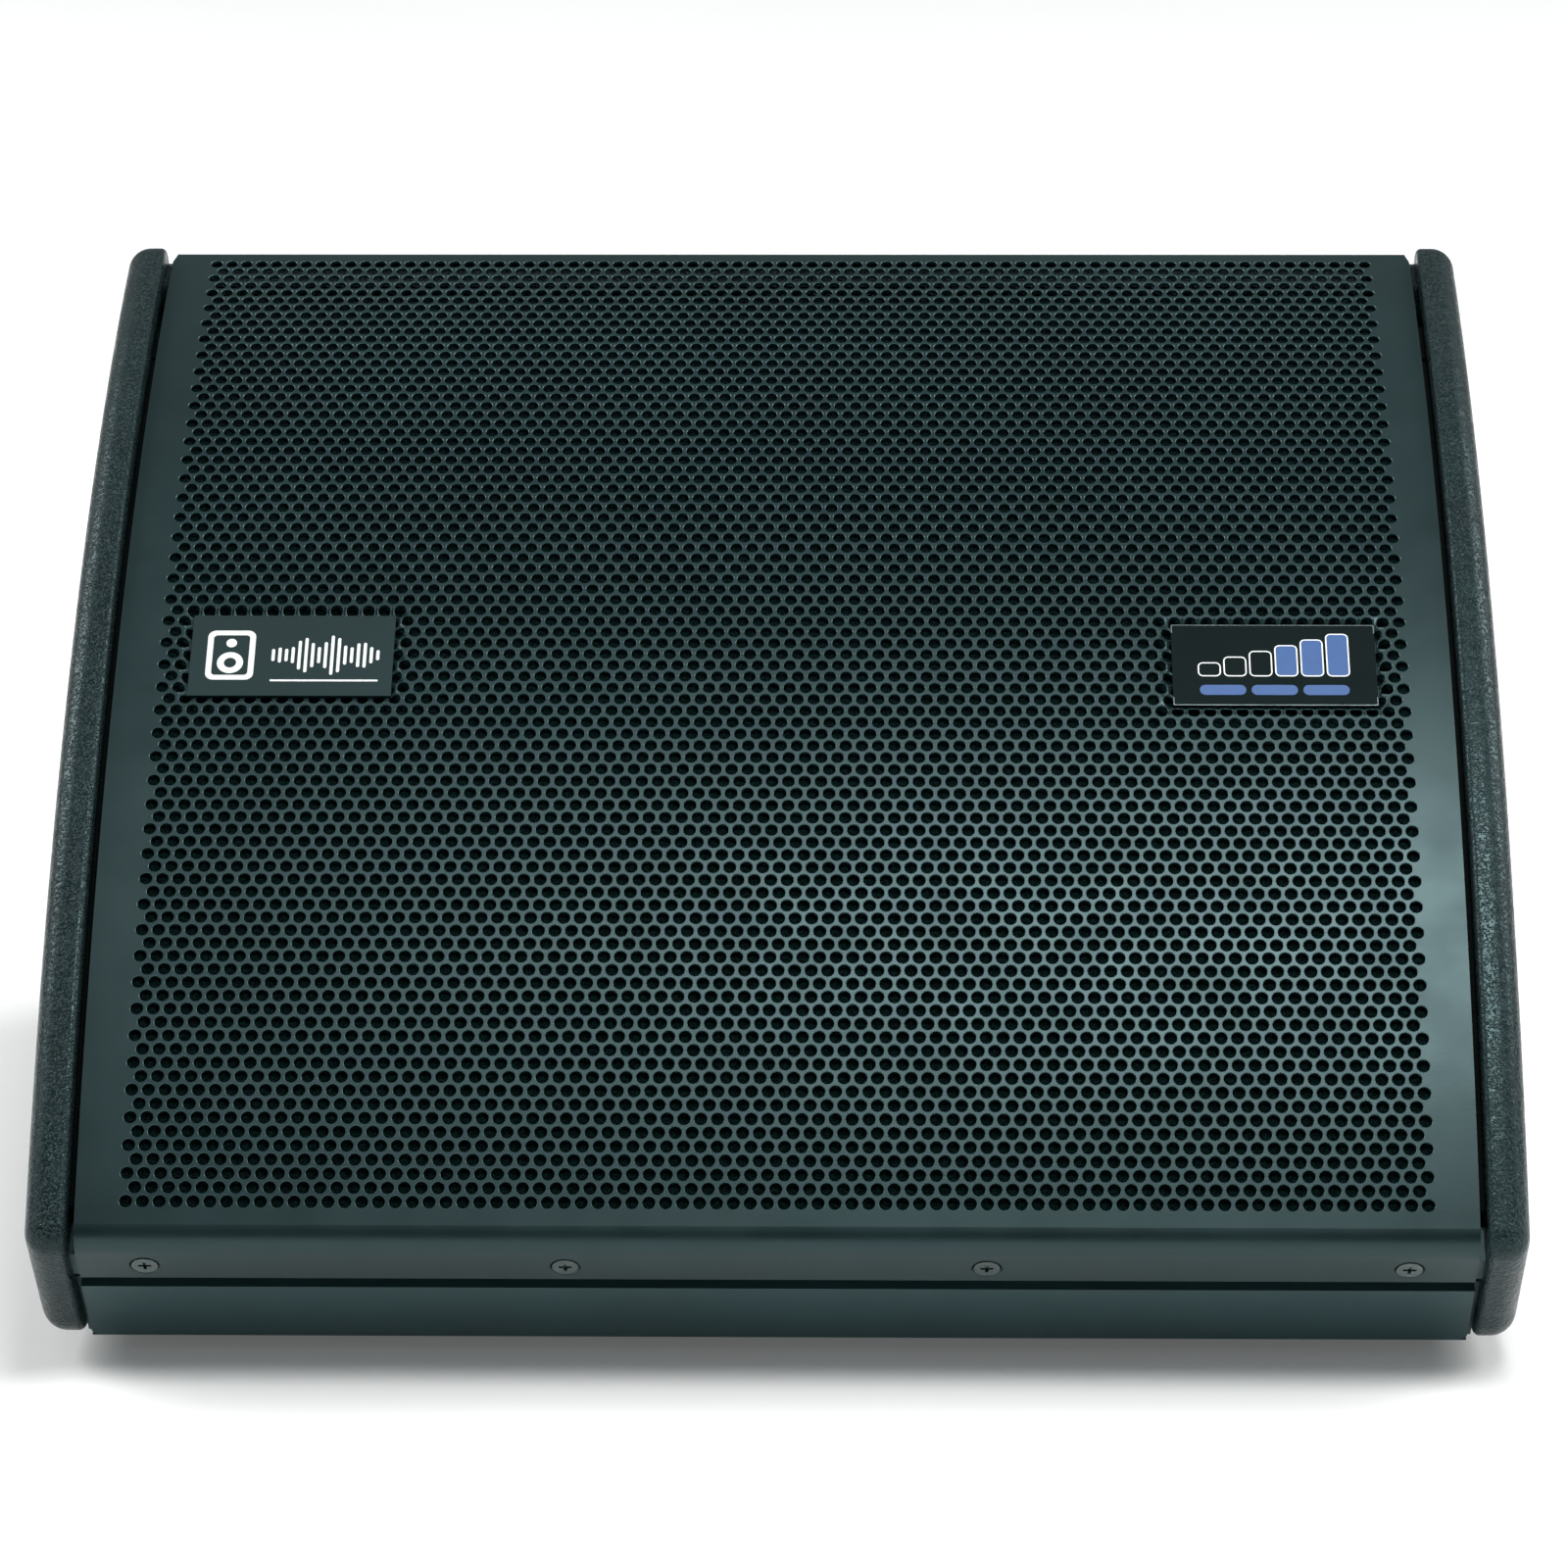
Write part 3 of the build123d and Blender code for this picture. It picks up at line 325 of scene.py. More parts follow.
def screw_cell(flat, a, b, low, high, outward, middle):
    """A rectangle of sheet with a countersunk screw hole."""
    place = LIP_SCREW_PLACE if outward < 0 else FLANGE_SCREW_PLACE
    wide = ring_points(middle, place, SCREW_HOLE, SCREW_SIDES)
    narrow = ring_points(middle, place, SCREW_HOLE - SHEET, SCREW_SIDES)
    low, high = min(low, high), max(low, high)
    border = []
    for x, y in wide:
        dx, dy = x - middle, y - place
        reach = min(
            ((b if dx > 0 else a) - middle) / dx if abs(dx) > TINY else math.inf,
            ((high if dy > 0 else low) - place) / dy if abs(dy) > TINY else math.inf,
        )
        border.append((middle + dx * reach, place + dy * reach))
    for k in range(SCREW_SIDES):
        n = (k + 1) % SCREW_SIDES
        p, q = border[k], border[n]
        outer = [p, q]
        if abs(p[0] - q[0]) > TINY and abs(p[1] - q[1]) > TINY:
            corners = [(x, y) for x in (a, b) for y in (low, high)]
            outer = [p, min(corners, key=lambda c: math.dist(c, p) + math.dist(c, q)), q]
        flat.face([(*c, 0.0) for c in outer + [wide[n], wide[k]]])
        flat.face([(*c, SHEET) for c in reversed(outer + [narrow[n], narrow[k]])])
        flat.face([(*wide[k], 0.0), (*wide[n], 0.0), (*narrow[n], SHEET), (*narrow[k], SHEET)])


def evenly(start, end, parts):
    """Numbers from start to end in equal parts."""
    return [start + (end - start) * k / parts for k in range(parts + 1)]


def make_grille(material):
    """The perforated sheet in bands, its front lip and its rear flange."""
    step = math.ceil(ROWS / BANDS)
    pieces = [grille_band(k, min(k + step, ROWS), material) for k in range(0, ROWS, step)]
    lip = evenly(LIP_START, LIP_STRAIGHT, LIP_STEPS) + [LIP_END]
    rear = evenly(REAR_START, REAR_STRAIGHT, REAR_STEPS) + [FLANGE_END]
    pieces.append(grille_end(0, -1, lip, "grille_lip", material))
    pieces.append(grille_end(ROWS - 1, 1, rear, "grille_flange", material))
    for piece in pieces:
        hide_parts("grille")


# ---- Soft pieces ---------------------------------------------------------------------
FOAM_DEPTH = 5.0
FOAM_ARC = (-222.5, 205.5)
FOAM_MARGIN = 3.5  # inside the grille's side edges, and clear round the pockets
FOAM_GAP = 0.4  # behind the sheet
FOAM_GRID = (250, 216)  # points across and along
LUMP_SIZE = 2.2
LUMP_HEIGHT = 0.9
POCKET_PUSH = 1.25  # the foam goes in further than the pocket
FOAM_SLOPE = 2.0  # width of the dent's sloped side
WADDING_SIZE = 0.94  # of its CAD box
WADDING_CUTS = 23
TUFT_TURN = 90  # radians in a metre: tufts 70 mm apart, in staggered rows
TUFT_DEPTH = 1.2
FLUFF_SCALE = 60
FLUFF_HEIGHT = 0.8


def slab_faces(columns, rows):
    """Faces of a closed slab: a grid of points, then the same grid behind it."""
    count = columns * rows
    faces = []
    for r in range(rows - 1):
        for c in range(columns - 1):
            k = r * columns + c
            quad = [k, k + 1, k + columns + 1, k + columns]
            faces.append(quad)
            faces.append([count + j for j in reversed(quad)])
    border = list(range(columns))
    border += [r * columns + columns - 1 for r in range(1, rows)]
    border += [(rows - 1) * columns + c for c in reversed(range(columns - 1))]
    border += [r * columns for r in reversed(range(1, rows - 1))]
    for a, b in zip(border, border[1:] + border[:1]):
        faces.append([b, a, count + a, count + b])
    return faces


def foam_lump(u, s):
    """The foam's uneven face, from 0 to 1."""
    spot = Vector((u / LUMP_SIZE, s / LUMP_SIZE, 0))
    return min(max(0.5 + noise.fractal(spot, 0.7, 2.0, 3), 0), 1)


def make_foam(material):
    """Open foam against the back of the grille, its face uneven."""
    half = HALF_WIDTH - FOAM_MARGIN
    columns, rows = FOAM_GRID
    u, s = np.meshgrid(np.linspace(-half, half, columns), np.linspace(*FOAM_ARC, rows))
    u, s = u.ravel(), s.ravel()
    lumps = LUMP_HEIGHT * np.array([foam_lump(a, b) for a, b in zip(u, s)])
    dents = POCKET_PUSH * pocket_depth(u, s, FOAM_MARGIN, FOAM_SLOPE)
    front = on_sheet(u, s, SHEET + FOAM_GAP + lumps + dents)
    back = on_sheet(u, s, SHEET + FOAM_DEPTH)
    piece = add_piece("foam_sheet", np.vstack([front, back]), slab_faces(columns, rows), material)
    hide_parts("grille_foam")


def make_wadding(material):
    """A tufted pad of polyester on the cabinet's floor."""
    low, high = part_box("damping_wadding")
    size = high - low
    builder = bmesh.new()
    bmesh.ops.create_cube(builder, size=1.0)
    bmesh.ops.scale(builder, vec=size * WADDING_SIZE, verts=builder.verts)
    bmesh.ops.subdivide_edges(builder, edges=builder.edges[:], cuts=WADDING_CUTS, use_grid_fill=True)
    centre = (low + high) / 2
    for vert in builder.verts:
        vert.normal_update()
    for vert in builder.verts:
        tuft = math.cos(vert.co.x * TUFT_TURN) * math.cos(vert.co.y * TUFT_TURN)
        fluff = noise.noise(vert.co * FLUFF_SCALE)
        if vert.co.z > 0:
            vert.co += vert.normal * (FLUFF_HEIGHT * fluff - TUFT_DEPTH * max(tuft, 0)) * MM
        vert.co += centre
    mesh = bpy.data.meshes.new("wadding_pad")
    builder.to_mesh(mesh)
    builder.free()
    mesh.materials.append(material)
    mesh.shade_smooth()
    piece = bpy.data.objects.new("wadding_pad", mesh)
    bpy.context.scene.collection.objects.link(piece)
    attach(piece, "cabinet")
    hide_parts("damping_wadding")


# ---- Printed marks -------------------------------------------------------------------
INK = 0.06  # height of printed marks
DISC_SIDES = 40
WAVE_LEFT, WAVE_PITCH, WAVE_BARS = -7, 2.45, 17  # the left plate's row of bars
WAVE_HALF = 0.6  # of a bar's width
METER_LEFT, METER_PITCH, METER_WIDTH = -28.0, 9.6, 7.6  # the right plate's blocks
METER_FOOT, METER_TOP, METER_RISE = -5.0, 0.5, 2.7
METER_BLOCKS, METER_EMPTY = 6, 3
METER_LINE = 0.5  # width of a block's outline
DASH_COUNT, DASH_LOW, DASH_HIGH = 3, -14.0, -9.4
CUT_INSET, CUT_WIDTH = 0.05, 0.35  # of a plate's bright cut edge


def disc_loop(x, y, radius):
    """A round mark."""
    return ring_points(x, y, radius, DISC_SIDES)


def bar_loop(x_low, x_high, y_low, y_high, corner, steps=5):
    """A bar with rounded corners."""
    loop = []
    for cx, cy, start in (
        (x_high - corner, y_high - corner, 0),
        (x_low + corner, y_high - corner, 1),
        (x_low + corner, y_low + corner, 2),
        (x_high - corner, y_low + corner, 3),
    ):
        for k in range(steps + 1):
            a = (start + k / steps) * math.pi / 2
            loop.append((cx + corner * math.cos(a), cy + corner * math.sin(a)))
    return loop


def print_marks(name, marks, place, material, body="cabinet"):
    """Thin ink shapes: each mark is an outer loop and, for a ring, an inner one.
    place turns (x, y, height) arrays into points in metres.
    """
    points, faces = [], []

    def add(loop, height):
        """The numbers of a loop's points, laid at a height."""
        start = len(points)
        points.extend([(x, y, height) for x, y in loop])
        return list(range(start, start + len(loop)))

    def wall(high, low):
        """The faces between two loops of the same count."""
        for k in range(len(high)):
            n = (k + 1) % len(high)
            faces.append([high[n], high[k], low[k], low[n]])

    for outer, inner in marks:
        high, low = add(outer, INK), add(outer, -INK)
        wall(high, low)
        if inner is None:
            faces.append(high)
            continue
        high_in, low_in = add(inner, INK), add(inner, -INK)
        wall(high_in[::-1], low_in[::-1])
        for k in range(len(high)):
            n = (k + 1) % len(high)
            faces.append([high[k], high[n], high_in[n], high_in[k]])
    piece = add_piece(name, place(*np.array(points).T), faces, material, body, smooth_angle=0)
    return piece


def on_badge(badge):
    """A badge plate's face: x to the right, y up, h out, from its middle."""
    x0, s0 = badge
    return lambda x, y, h: on_sheet(x + x0, y + s0, BADGE_TOP - h)


def left_badge_marks(white):
    """A plain loudspeaker pictogram beside upright bars that swell and fade."""
    middle, half_width, half_height, line = -23.0, 9.0, 11.5, 2.2
    outer = (middle - half_width, middle + half_width, -half_height, half_height)
    inner = (outer[0] + line, outer[1] - line, outer[2] + line, outer[3] - line)
    woofer, tweeter = -3.6, 5.6
    marks = [
        (bar_loop(*outer, 3.0), bar_loop(*inner, 1.4)),
        (disc_loop(middle, woofer, 4.9), disc_loop(middle, woofer, 2.3)),
        (disc_loop(middle, tweeter, 2.0), None),
    ]
    for k in range(WAVE_BARS):
        x = WAVE_LEFT + WAVE_PITCH * k
        swell = math.sin(math.pi * (k + 0.6) / (WAVE_BARS + 0.6))
        ripple = 0.62 + 0.38 * math.cos(1.35 * k)
        height = 2.0 + 7.5 * swell * ripple
        marks.append((bar_loop(x - WAVE_HALF, x + WAVE_HALF, -height, height, WAVE_HALF), None))
    right = WAVE_LEFT + WAVE_PITCH * (WAVE_BARS - 1) + WAVE_HALF
    marks.append((bar_loop(WAVE_LEFT - WAVE_HALF, right, -12.2, -11.4, 0.3), None))
    print_marks("badge_left_print", marks, on_badge(BADGE_LEFT), white)


def right_badge_marks(white, blue):
    """Upright blocks that rise like a level meter, the tall ones filled, over a row of dashes."""
    place = on_badge(BADGE_RIGHT)
    corner = 1.5
    lines, fills = [], []
    for k in range(METER_BLOCKS):
        left, top = METER_LEFT + METER_PITCH * k, METER_TOP + METER_RISE * k
        right = left + METER_WIDTH
        block = bar_loop(left, right, METER_FOOT, top, corner)
        grown = (left - METER_LINE, right + METER_LINE, METER_FOOT - METER_LINE, top + METER_LINE)
        lines.append((bar_loop(*grown, corner + METER_LINE), block))
        if k >= METER_EMPTY:
            fills.append((block, None))
    for k in range(DASH_COUNT):
        left = METER_LEFT + 2 * METER_PITCH * k
        right = left + METER_PITCH + METER_WIDTH
        fills.append((bar_loop(left, right, DASH_LOW, DASH_HIGH, 2.2), None))
    print_marks("badge_right_lines", lines, place, white)
    print_marks("badge_right_fills", fills, place, blue)


def badge_edges(name, badge, material):
    """The bright cut edge round a badge plate."""
    loops = []
    for inset, corner in ((CUT_INSET, 0.6), (CUT_INSET + CUT_WIDTH, 0.4)):
        x, y = BADGE[0] / 2 - inset, BADGE[1] / 2 - inset
        loops.append(bar_loop(-x, x, -y, y, corner))
    print_marks(name, [loops], on_badge(badge), material)


# ---- Rear panel marks ----------------------------------------------------------------
PLATE_LOW, PLATE_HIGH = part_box("amp_plate")
PLATE_MIDDLE_Z = (PLATE_LOW.z + PLATE_HIGH.z) / 2
KNOB_TURN, DIAL_STEP = 150, 30  # degrees each way, and from mark to mark
DIAL_INNER, DIAL_SHORT, DIAL_LONG = 11.0, 13.2, 14.2  # distances from the knob's axis
DIAL_LINE = 0.25  # half the width of a mark
FRAMED = {  # the printed frames' width and height
    "xlr_input": (32, 37),
    "xlr_link": (32, 37),
    "ground_lift_button": (14, 14),
    "eq_button": (14, 14),
}
FRAME_LINE, FRAME_CORNER = 0.5, 3.0
LAMP_PITCH, LAMP_RING = 18, (4.6, 4.2)
POINTER = (2.4, 8.0)  # from the knob's axis, towards its edge
POINTER_HALF = 0.5
POINTER_SUNK = 0.8  # the groove's floor, below the knob's face


def on_plate(x, y, h):
    """The amplifier plate's face, seen from behind: x to the right, y up, h out."""
    return np.column_stack([-x * MM, PLATE_HIGH.y + h * MM, PLATE_MIDDLE_Z + y * MM])


def node_on_plate(node):
    """A node's middle on the amplifier plate, in its own mm."""
    low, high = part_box(node)
    middle = (low + high) / 2
    return -middle.x / MM, (middle.z - PLATE_MIDDLE_Z) / MM


def dial_marks(knob):
    """Short lines round a knob over its travel, longer at the ends and the middle."""
    x, y = node_on_plate(knob)
    marks = []
    for turn in range(-KNOB_TURN, KNOB_TURN + 1, DIAL_STEP):
        angle = math.radians(90 + turn)
        c, s = math.cos(angle), math.sin(angle)
        end = DIAL_SHORT if turn % KNOB_TURN else DIAL_LONG
        right_side = [(DIAL_INNER, -DIAL_LINE), (end, -DIAL_LINE)]
        corners = right_side + [(end, DIAL_LINE), (DIAL_INNER, DIAL_LINE)]
        marks.append(([(x + p * c - q * s, y + p * s + q * c) for p, q in corners], None))
    return marks


def frame_mark(node):
    """A line round a control."""
    x, y = node_on_plate(node)
    width, height = FRAMED[node]
    loops = []
    for inset in (0.0, FRAME_LINE):
        dx, dy = width / 2 - inset, height / 2 - inset
        loops.append(bar_loop(x - dx, x + dx, y - dy, y + dy, FRAME_CORNER - inset))
    return loops


def plate_marks(white):
    """Scales round the knobs, and plain frames round the other controls and the lamps."""
    marks = dial_marks("volume_knob") + dial_marks("tone_knob")
    marks += [frame_mark(node) for node in FRAMED]
    x, y = node_on_plate("status_leds")
    for lamp in (-LAMP_PITCH, 0, LAMP_PITCH):
        marks.append([disc_loop(x + lamp, y, radius) for radius in LAMP_RING])
    print_marks("plate_print", marks, on_plate, white)


def knob_pointers(white):
    """A painted line down each knob's pointer groove."""
    for knob in ("volume_knob", "tone_knob"):
        x, y = node_on_plate(knob)
        top = (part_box(knob)[1].y - PLATE_HIGH.y) / MM - POINTER_SUNK
        line = bar_loop(x - POINTER_HALF, x + POINTER_HALF, y + POINTER[0], y + POINTER[1], 0.2)

        def on_knob(across, up, out):
            return on_plate(across, up, out + top)

        print_marks(f"{knob}_pointer", [(line, None)], on_knob, white, knob)


# ---- Materials -----------------------------------------------------------------------
WHITE = (1.0, 1.0, 1.0)
DARK = (0.0062, 0.0148, 0.0160)  # the object's blue-green black
TEAL_GLOSS = (0.66, 0.97, 1.0)  # the tint of the same paint's gloss
CLOUD = (0.35, 0.65)  # a narrower part of a noise, for a stronger mottle
RANGE_SOCKETS = ("From Min", "From Max", "To Min", "To Max")


class Shader:
    """A material's node tree with short helpers for its textures.

    Texture scales are per metre, and bump depths are in mm.
    """

    def __init__(self, name, base, roughness, metallic=0.0, specular=0.5, tint=WHITE):
        self.material = bpy.data.materials.new(name)
        self.material.use_nodes = True
        self.tree = self.material.node_tree
        self.shader = self.tree.nodes["Principled BSDF"]
        self.shader.inputs["Base Color"].default_value = (*base, 1)
        self.shader.inputs["Roughness"].default_value = roughness
        self.shader.inputs["Metallic"].default_value = metallic
        self.shader.inputs["Specular IOR Level"].default_value = specular
        self.shader.inputs["Specular Tint"].default_value = (*tint, 1)
        self.coords = self.node("TexCoord").outputs["Object"]
        self.normal = None

    def node(self, kind, **values):
        """A new node with some of its settings."""
        node = self.tree.nodes.new("ShaderNode" + kind)
        for key, value in values.items():
            setattr(node, key, value)
        return node

    def link(self, a, b):
        """A link from an output to an input."""
        self.tree.links.new(a, b)

    def noise(self, scale, detail=3.0, rough=0.55, stretch=None):
        """Cloudy noise, squeezed along the axes by stretch."""
        node = self.node("TexNoise")
        node.inputs["Scale"].default_value = scale
        node.inputs["Detail"].default_value = detail
        node.inputs["Roughness"].default_value = rough
        self.link(self.stretched(stretch), node.inputs["Vector"])
        return node.outputs["Fac"]

    def stretched(self, stretch):
        """The object's own coordinates, or those scaled along each axis."""
        if stretch is None:
            return self.coords
        node = self.node("Mapping")
        node.inputs["Scale"].default_value = stretch
        self.link(self.coords, node.inputs["Vector"])
        return node.outputs["Vector"]

    def cells(self, scale, feature, randomness=1.0):
        """A distance within scattered cells."""
        node = self.node("TexVoronoi", feature=feature)
        node.inputs["Scale"].default_value = scale
        node.inputs["Randomness"].default_value = randomness
        self.link(self.coords, node.inputs["Vector"])
        return node.outputs["Distance"]

    def mapped(self, value, *limits):
        """A value taken from one range to another: from low, from high, to low, to high."""
        node = self.node("MapRange")
        for key, number in zip(RANGE_SOCKETS, limits):
            node.inputs[key].default_value = number
        self.link(value, node.inputs["Value"])
        return node.outputs["Result"]

    def vary_colour(self, value, low, high):
        """Base colour runs between two colours with a texture value."""
        mix = self.node("Mix", data_type="RGBA")
        self.link(value, mix.inputs["Factor"])
        mix.inputs["A"].default_value = (*low, 1)
        mix.inputs["B"].default_value = (*high, 1)
        self.link(mix.outputs["Result"], self.shader.inputs["Base Color"])

    def mottle(self, value, base, dark, light, spread=(0.3, 0.7)):
        """Base colour runs between two shades of one colour with a texture value."""
        self.vary_colour(self.mapped(value, *spread, 0, 1), scaled(base, dark), scaled(base, light))

    def vary_roughness(self, value, low, high):
        """Roughness runs between two numbers with a texture value."""
        self.link(self.mapped(value, 0.3, 0.7, low, high), self.shader.inputs["Roughness"])

    def bump(self, height, depth):
        """A relief on top of the ones before it."""
        node = self.node("Bump")
        node.inputs["Distance"].default_value = depth * MM
        self.link(height, node.inputs["Height"])
        if self.normal is not None:
            self.link(self.normal, node.inputs["Normal"])
        self.normal = node.outputs["Normal"]
        self.link(self.normal, self.shader.inputs["Normal"])


def scaled(colour, factor):
    """A colour made lighter or darker."""
    return tuple(min(c * factor, 1.0) for c in colour)


def satin_paint(name, base, roughness, grain=900.0, depth=0.02, tint=WHITE, specular=0.5):
    """Powder coat: a fine even grain, faint cloudiness and small changes of gloss."""
    look = Shader(name, base, roughness, specular=specular, tint=tint)
    look.mottle(look.noise(14.0, 4.0), base, 0.9, 1.12, CLOUD)
    look.vary_roughness(look.noise(45.0, 5.0), roughness - 0.04, roughness + 0.05)
    look.bump(look.noise(grain, 2.0), depth)
    return look.material


def textured_paint(name, base, roughness):
    """Sprayed polyurea: scattered droplets about a millimetre across over softer swells."""
    look = Shader(name, base, roughness, specular=0.32, tint=TEAL_GLOSS)
    look.mottle(look.noise(22.0, 4.0), base, 0.8, 1.25, CLOUD)
    look.vary_roughness(look.noise(160.0, 3.0), roughness - 0.08, roughness + 0.12)
    look.bump(look.noise(300.0, 2.0, 0.5), 0.3)
    look.bump(look.mapped(look.noise(800.0, 2.0, 0.5), 0.46, 0.62, 0, 1), 0.32)
    look.bump(look.noise(2200.0, 2.0), 0.06)
    return look.material


def open_foam(name, base):
    """Open-cell foam with painted light and shade: each cell lighter at its middle, a painted speck of
    light, and darker towards its edges, painted shade in the pores.
    """
    look = Shader(name, base, 0.95, specular=0.15, tint=TEAL_GLOSS)
    pores = look.cells(1100.0, "F1")
    # Painted light and shade: the foam's colour runs from 2.4 times its base at a cell's middle to a
    # quarter of it at the cell's edge.
    look.vary_colour(look.mapped(pores, 0.0, 0.7, 1, 0), scaled(base, 0.25), scaled(base, 2.4))
    look.bump(pores, 0.8)
    return look.material


def plywood(name, base):
    """Black-stained wood with its grain along X."""
    look = Shader(name, base, 0.8, specular=0.08)
    grain = look.noise(60.0, 5.0, 0.6, (1, 14, 14))
    look.mottle(grain, base, 0.6, 1.5)
    look.bump(grain, 0.2)
    return look.material


def soft_fibre(name, base):
    """Polyester wadding: long soft fibres."""
    look = Shader(name, base, 0.95, specular=0.2)
    look.shader.inputs["Sheen Weight"].default_value = 0.4
    fibres = look.noise(420.0, 6.0, 0.7, (1, 3, 2))
    look.mottle(fibres, base, 0.75, 1.15)
    look.bump(fibres, 0.6)
    return look.material


def woven_cloth(name, base):
    """A plain weave, with painted shade between the threads."""
    look = Shader(name, base, 0.85, specular=0.25)
    threads = look.cells(1400.0, "F1", 0.15)
    # Painted shade: the colour darkens away from each thread, into the gaps between them.
    look.mottle(threads, base, 1.15, 0.6, (0.1, 0.6))
    look.bump(threads, 0.2)
    return look.material


def moulded_plastic(name, base, roughness, grain=700.0, depth=0.04):
    """Moulded plastic with a spark-eroded grain."""
    look = Shader(name, base, roughness)
    look.mottle(look.noise(30.0), base, 0.85, 1.15)
    look.vary_roughness(look.noise(120.0, 4.0), roughness - 0.06, roughness + 0.08)
    look.bump(look.noise(grain, 3.0), depth)
    return look.material


def rubber(name, base):
    """Dull rubber, a little dusty; it also makes the magnets' ferrite."""
    look = Shader(name, base, 0.8, specular=0.35)
    look.mottle(look.noise(70.0, 5.0), base, 0.75, 1.35)
    look.bump(look.noise(900.0, 3.0), 0.08)
    return look.material


def metal(name, base, roughness, brushed=(1, 1, 6)):
    """Bare or blackened metal; its faint tool marks are short along the axis that brushed scales."""
    look = Shader(name, base, roughness, metallic=1.0)
    marks = look.noise(500.0, 4.0, 0.6, brushed)
    look.mottle(look.noise(60.0), base, 0.8, 1.15)
    look.vary_roughness(marks, roughness - 0.07, roughness + 0.1)
    look.bump(marks, 0.03)
    return look.material


def doped_paper(name, base):
    """Cone paper with visible fibres."""
    look = Shader(name, base, 0.65, specular=0.3)
    fibres = look.noise(350.0, 6.0, 0.7)
    look.mottle(fibres, base, 0.7, 1.4)
    look.bump(fibres, 0.15)
    return look.material


def printed_ink(name, base):
    """Screen-printed ink, almost flat."""
    look = Shader(name, base, 0.45)
    look.mottle(look.noise(300.0, 4.0), base, 0.92, 1.0)
    look.bump(look.noise(1500.0, 2.0), 0.01)
    return look.material


def circuit_board(name, mask, track):
    """Green solder mask with a lattice of paler tracks."""
    look = Shader(name, mask, 0.35)
    tracks = look.cells(260.0, "DISTANCE_TO_EDGE", 0.4)
    look.vary_colour(look.mapped(tracks, 0.03, 0.06, 1, 0), mask, track)
    look.bump(tracks, 0.05)
    return look.material


def lens(name, base):
    """Tinted clear plastic."""
    look = Shader(name, base, 0.15)
    look.shader.inputs["Transmission Weight"].default_value = 0.5
    look.mottle(look.noise(200.0), base, 0.85, 1.0)
    look.bump(look.noise(600.0), 0.01)
    return look.material


def wound_tape(name, base):
    """Varnished tape wound round the transformer."""
    look = Shader(name, base, 0.3)
    turns = look.noise(300.0, 3.0, 0.5, (1, 9, 1))
    look.mottle(turns, base, 0.7, 1.1, CLOUD)
    look.bump(turns, 0.2)
    return look.material


LOOKS = {
    "textured_paint": textured_paint("textured_paint", scaled(DARK, 0.8), 0.24),
    # board_paint is the grille's own paint made 2.5 times lighter: painted light on the front board,
    # brightening it where it faces the shaded floor under the cabinet.
    "board_paint": satin_paint("board_paint", scaled(DARK, 2.5), 0.42, tint=TEAL_GLOSS),
    "plywood": plywood("plywood", (0.004, 0.006, 0.0065)),
    "grille_steel": satin_paint("grille_steel", DARK, 0.38, tint=TEAL_GLOSS),
    "foam": open_foam("foam", (0.001, 0.008, 0.008)),
    "wadding": soft_fibre("wadding", (0.62, 0.62, 0.59)),
    "screw_steel": metal("screw_steel", (0.12, 0.15, 0.145), 0.3),
    "badge": satin_paint("badge", scaled(DARK, 0.9), 0.6, tint=TEAL_GLOSS, specular=0.35),
    "foot_rubber": rubber("foot_rubber", (0.012, 0.012, 0.012)),
    "basket_steel": satin_paint("basket_steel", (0.012, 0.012, 0.012), 0.4),
    "surround_rubber": rubber("surround_rubber", (0.014, 0.014, 0.014)),
    "cone_paper": doped_paper("cone_paper", (0.03, 0.03, 0.03)),
    "spider_cloth": woven_cloth("spider_cloth", (0.42, 0.28, 0.09)),
    "coil": metal("coil", (0.62, 0.32, 0.16), 0.35, (1, 1, 20)),
    "motor_steel": metal("motor_steel", (0.42, 0.42, 0.40), 0.4),
    "ferrite": rubber("ferrite", (0.04, 0.04, 0.043)),
    "moulded_plastic": moulded_plastic("moulded_plastic", (0.012, 0.0125, 0.013), 0.5),
    "titanium": metal("titanium", (0.55, 0.53, 0.50), 0.3),
    "plate_paint": satin_paint("plate_paint", (0.014, 0.017, 0.018), 0.5, 500.0, 0.1),
    "heatsink_aluminium": metal("heatsink_aluminium", (0.05, 0.052, 0.055), 0.42, (1, 12, 1)),
    "circuit_board": circuit_board("circuit_board", (0.01, 0.07, 0.03), (0.03, 0.17, 0.07)),
    "standoff_brass": metal("standoff_brass", (0.75, 0.56, 0.26), 0.3),
    "transformer_tape": wound_tape("transformer_tape", (0.5, 0.34, 0.06)),
    "connector_plastic": moulded_plastic("connector_plastic", (0.008, 0.0085, 0.009), 0.35, 400.0, 0.02),
    "control_metal": metal("control_metal", (0.65, 0.65, 0.64), 0.25),
    "knob_plastic": moulded_plastic("knob_plastic", (0.014, 0.014, 0.015), 0.4),
    "led_lens": lens("led_lens", (0.08, 0.42, 0.12)),
}
WHITE_INK = printed_ink("white_ink", (0.82, 0.84, 0.84))
BLUE_INK = printed_ink("blue_ink", (0.024, 0.09, 0.27))
BLACK_PLATE = satin_paint("black_plate", (0.002, 0.0045, 0.0045), 0.6, tint=TEAL_GLOSS, specular=0.1)
PLATE_EDGE = metal("plate_edge", (0.16, 0.19, 0.20), 0.35)
# Painted highlight: the grille's paint four times lighter, on the holes' eased rims.
RIM_HIGHLIGHT_PAINT = satin_paint("painted_rim_highlight", scaled(DARK, 4.0), 0.3, tint=TEAL_GLOSS)


def dress_nodes():
    """Every CAD node takes the look of its slot; the right badge is a darker plate."""
    slot_of = {part["node"]: part["material_slot"] for part in frame["record"]["subparts"]}
    for name, node in frame["nodes"].items():
        node.data.materials.clear()
        node.data.materials.append(BLACK_PLATE if name == "badge_right" else LOOKS[slot_of[name]])


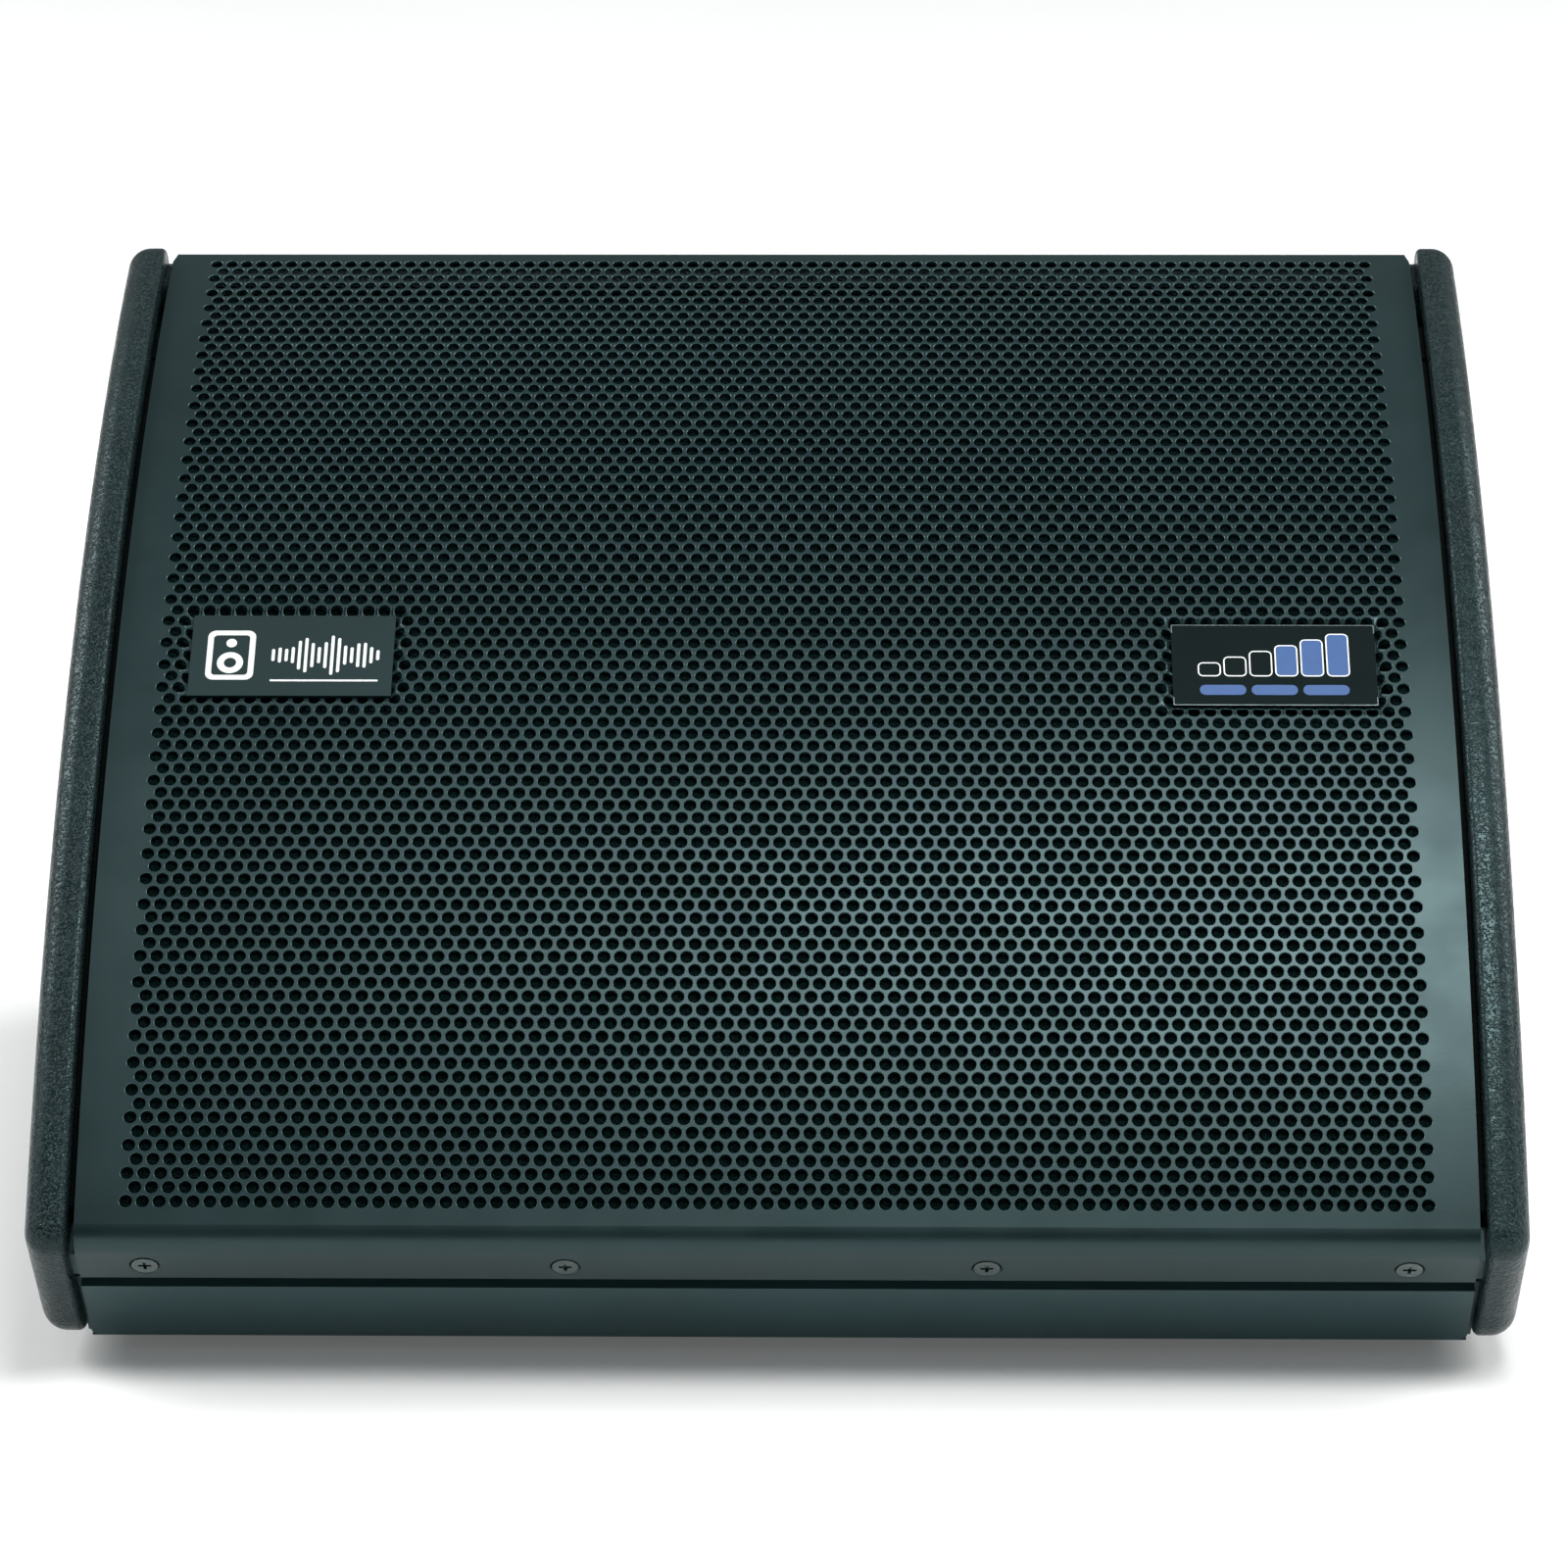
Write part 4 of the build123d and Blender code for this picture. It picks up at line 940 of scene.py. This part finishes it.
# ---- Studio --------------------------------------------------------------------------
FOCAL_LENGTH, SENSOR = 122.85, 36.0
CAMERA = Vector((0.0360, -1.9162, 0.8490))
AIM = Vector((0.0006, -0.0198, 0.1740))
ROLL = math.radians(-0.24)
FLOOR_HALF, FLOOR_PARTS = 16.0, 8
FLOOR_GLOW = 0.1  # the table is lit from below too
ROOM_COLOUR = (0.94, 1.0, 1.0)
ROOM_LIGHT, DIM_LIGHT = 0.30, 0.0
DIM_DIRECTION = Vector((0, -0.97, 0.24))
DIM_SPREAD = (0.62, 0.95)  # cosines from that direction where the dimming starts and ends
KEY_PLACE, KEY_AIM = (0.32, -0.62, 1.70), (0.16, -0.1, 0.15)
KEY_SIZE, KEY_POWER = (0.80, 0.56), 22
SIDE_REACH, SIDE_AIM = (3.2, 0.9, 2.6), (0, 0.6, 0)
SIDE_SIZE, SIDE_POWER = (2.4, 2.4), 115


def make_camera():
    """The photo's viewpoint: in front, above and a little to the right."""
    data = bpy.data.cameras.new("camera")
    data.lens = FOCAL_LENGTH
    data.sensor_width = SENSOR
    data.clip_start, data.clip_end = 0.05, 50.0
    camera = bpy.data.objects.new("camera", data)
    bpy.context.scene.collection.objects.link(camera)
    camera.location = CAMERA
    look = (AIM - CAMERA).to_track_quat("-Z", "Y")
    camera.rotation_mode = "QUATERNION"
    camera.rotation_quaternion = look @ Quaternion((0, 0, 1), ROLL)
    bpy.context.scene.camera = camera


def softbox(name, place, aim, size, power):
    """A rectangular area light that points at aim."""
    data = bpy.data.lights.new(name, "AREA")
    data.shape = "RECTANGLE"
    data.size, data.size_y = size
    data.energy = power
    light = bpy.data.objects.new(name, data)
    bpy.context.scene.collection.objects.link(light)
    light.location = place
    light.rotation_euler = (Vector(aim) - Vector(place)).to_track_quat("-Z", "Y").to_euler()


def make_floor():
    """A wide pale floor, too wide for its edge to show."""
    marks = evenly(-FLOOR_HALF, FLOOR_HALF, FLOOR_PARTS)
    points = [(x, y, 0.0) for y in marks for x in marks]
    row = FLOOR_PARTS + 1
    starts = [r * row + c for r in range(FLOOR_PARTS) for c in range(FLOOR_PARTS)]
    faces = [[start + k for k in (0, 1, row + 1, row)] for start in starts]
    paper = Shader("floor_paper", scaled(WHITE, 0.9), 0.9, specular=0.1)
    paper.mottle(paper.noise(3.0), WHITE, 0.91, 0.93)
    paper.shader.inputs["Emission Color"].default_value = (*WHITE, 1)
    paper.shader.inputs["Emission Strength"].default_value = FLOOR_GLOW
    mesh = bpy.data.meshes.new("floor")
    mesh.from_pydata(points, [], faces)
    mesh.materials.append(paper.material)
    floor = bpy.data.objects.new("floor", mesh)
    bpy.context.scene.collection.objects.link(floor)


def make_world():
    """An even pale room that dims to black low down in front of the object."""
    world = bpy.data.worlds.new("studio")
    world.use_nodes = True
    tree = world.node_tree
    background = tree.nodes["Background"]
    coords = tree.nodes.new("ShaderNodeTexCoord")
    front = tree.nodes.new("ShaderNodeVectorMath")
    front.operation = "DOT_PRODUCT"
    front.inputs[1].default_value = DIM_DIRECTION
    tree.links.new(coords.outputs["Generated"], front.inputs[0])
    dim = tree.nodes.new("ShaderNodeMapRange")
    dim.interpolation_type = "SMOOTHSTEP"
    for key, number in zip(RANGE_SOCKETS, (*DIM_SPREAD, ROOM_LIGHT, DIM_LIGHT)):
        dim.inputs[key].default_value = number
    tree.links.new(front.outputs["Value"], dim.inputs["Value"])
    tree.links.new(dim.outputs["Result"], background.inputs["Strength"])
    background.inputs["Color"].default_value = (*ROOM_COLOUR, 1)
    bpy.context.scene.world = world


def make_lights():
    """The room, a softbox over the face and one high on each side."""
    make_world()
    softbox("key", KEY_PLACE, KEY_AIM, KEY_SIZE, KEY_POWER)
    across, back, up = SIDE_REACH
    for side in (-1, 1):
        softbox("side", (side * across, back, up), SIDE_AIM, SIDE_SIZE, SIDE_POWER)


# ---- Make it -------------------------------------------------------------------------
make_camera()
make_floor()
make_lights()
dress_nodes()
make_grille(LOOKS["grille_steel"])
make_foam(LOOKS["foam"])
make_wadding(LOOKS["wadding"])
left_badge_marks(WHITE_INK)
right_badge_marks(WHITE_INK, BLUE_INK)
badge_edges("badge_right_edge", BADGE_RIGHT, PLATE_EDGE)
plate_marks(WHITE_INK)
knob_pointers(WHITE_INK)

bpy.context.scene.view_settings.view_transform = "Standard"
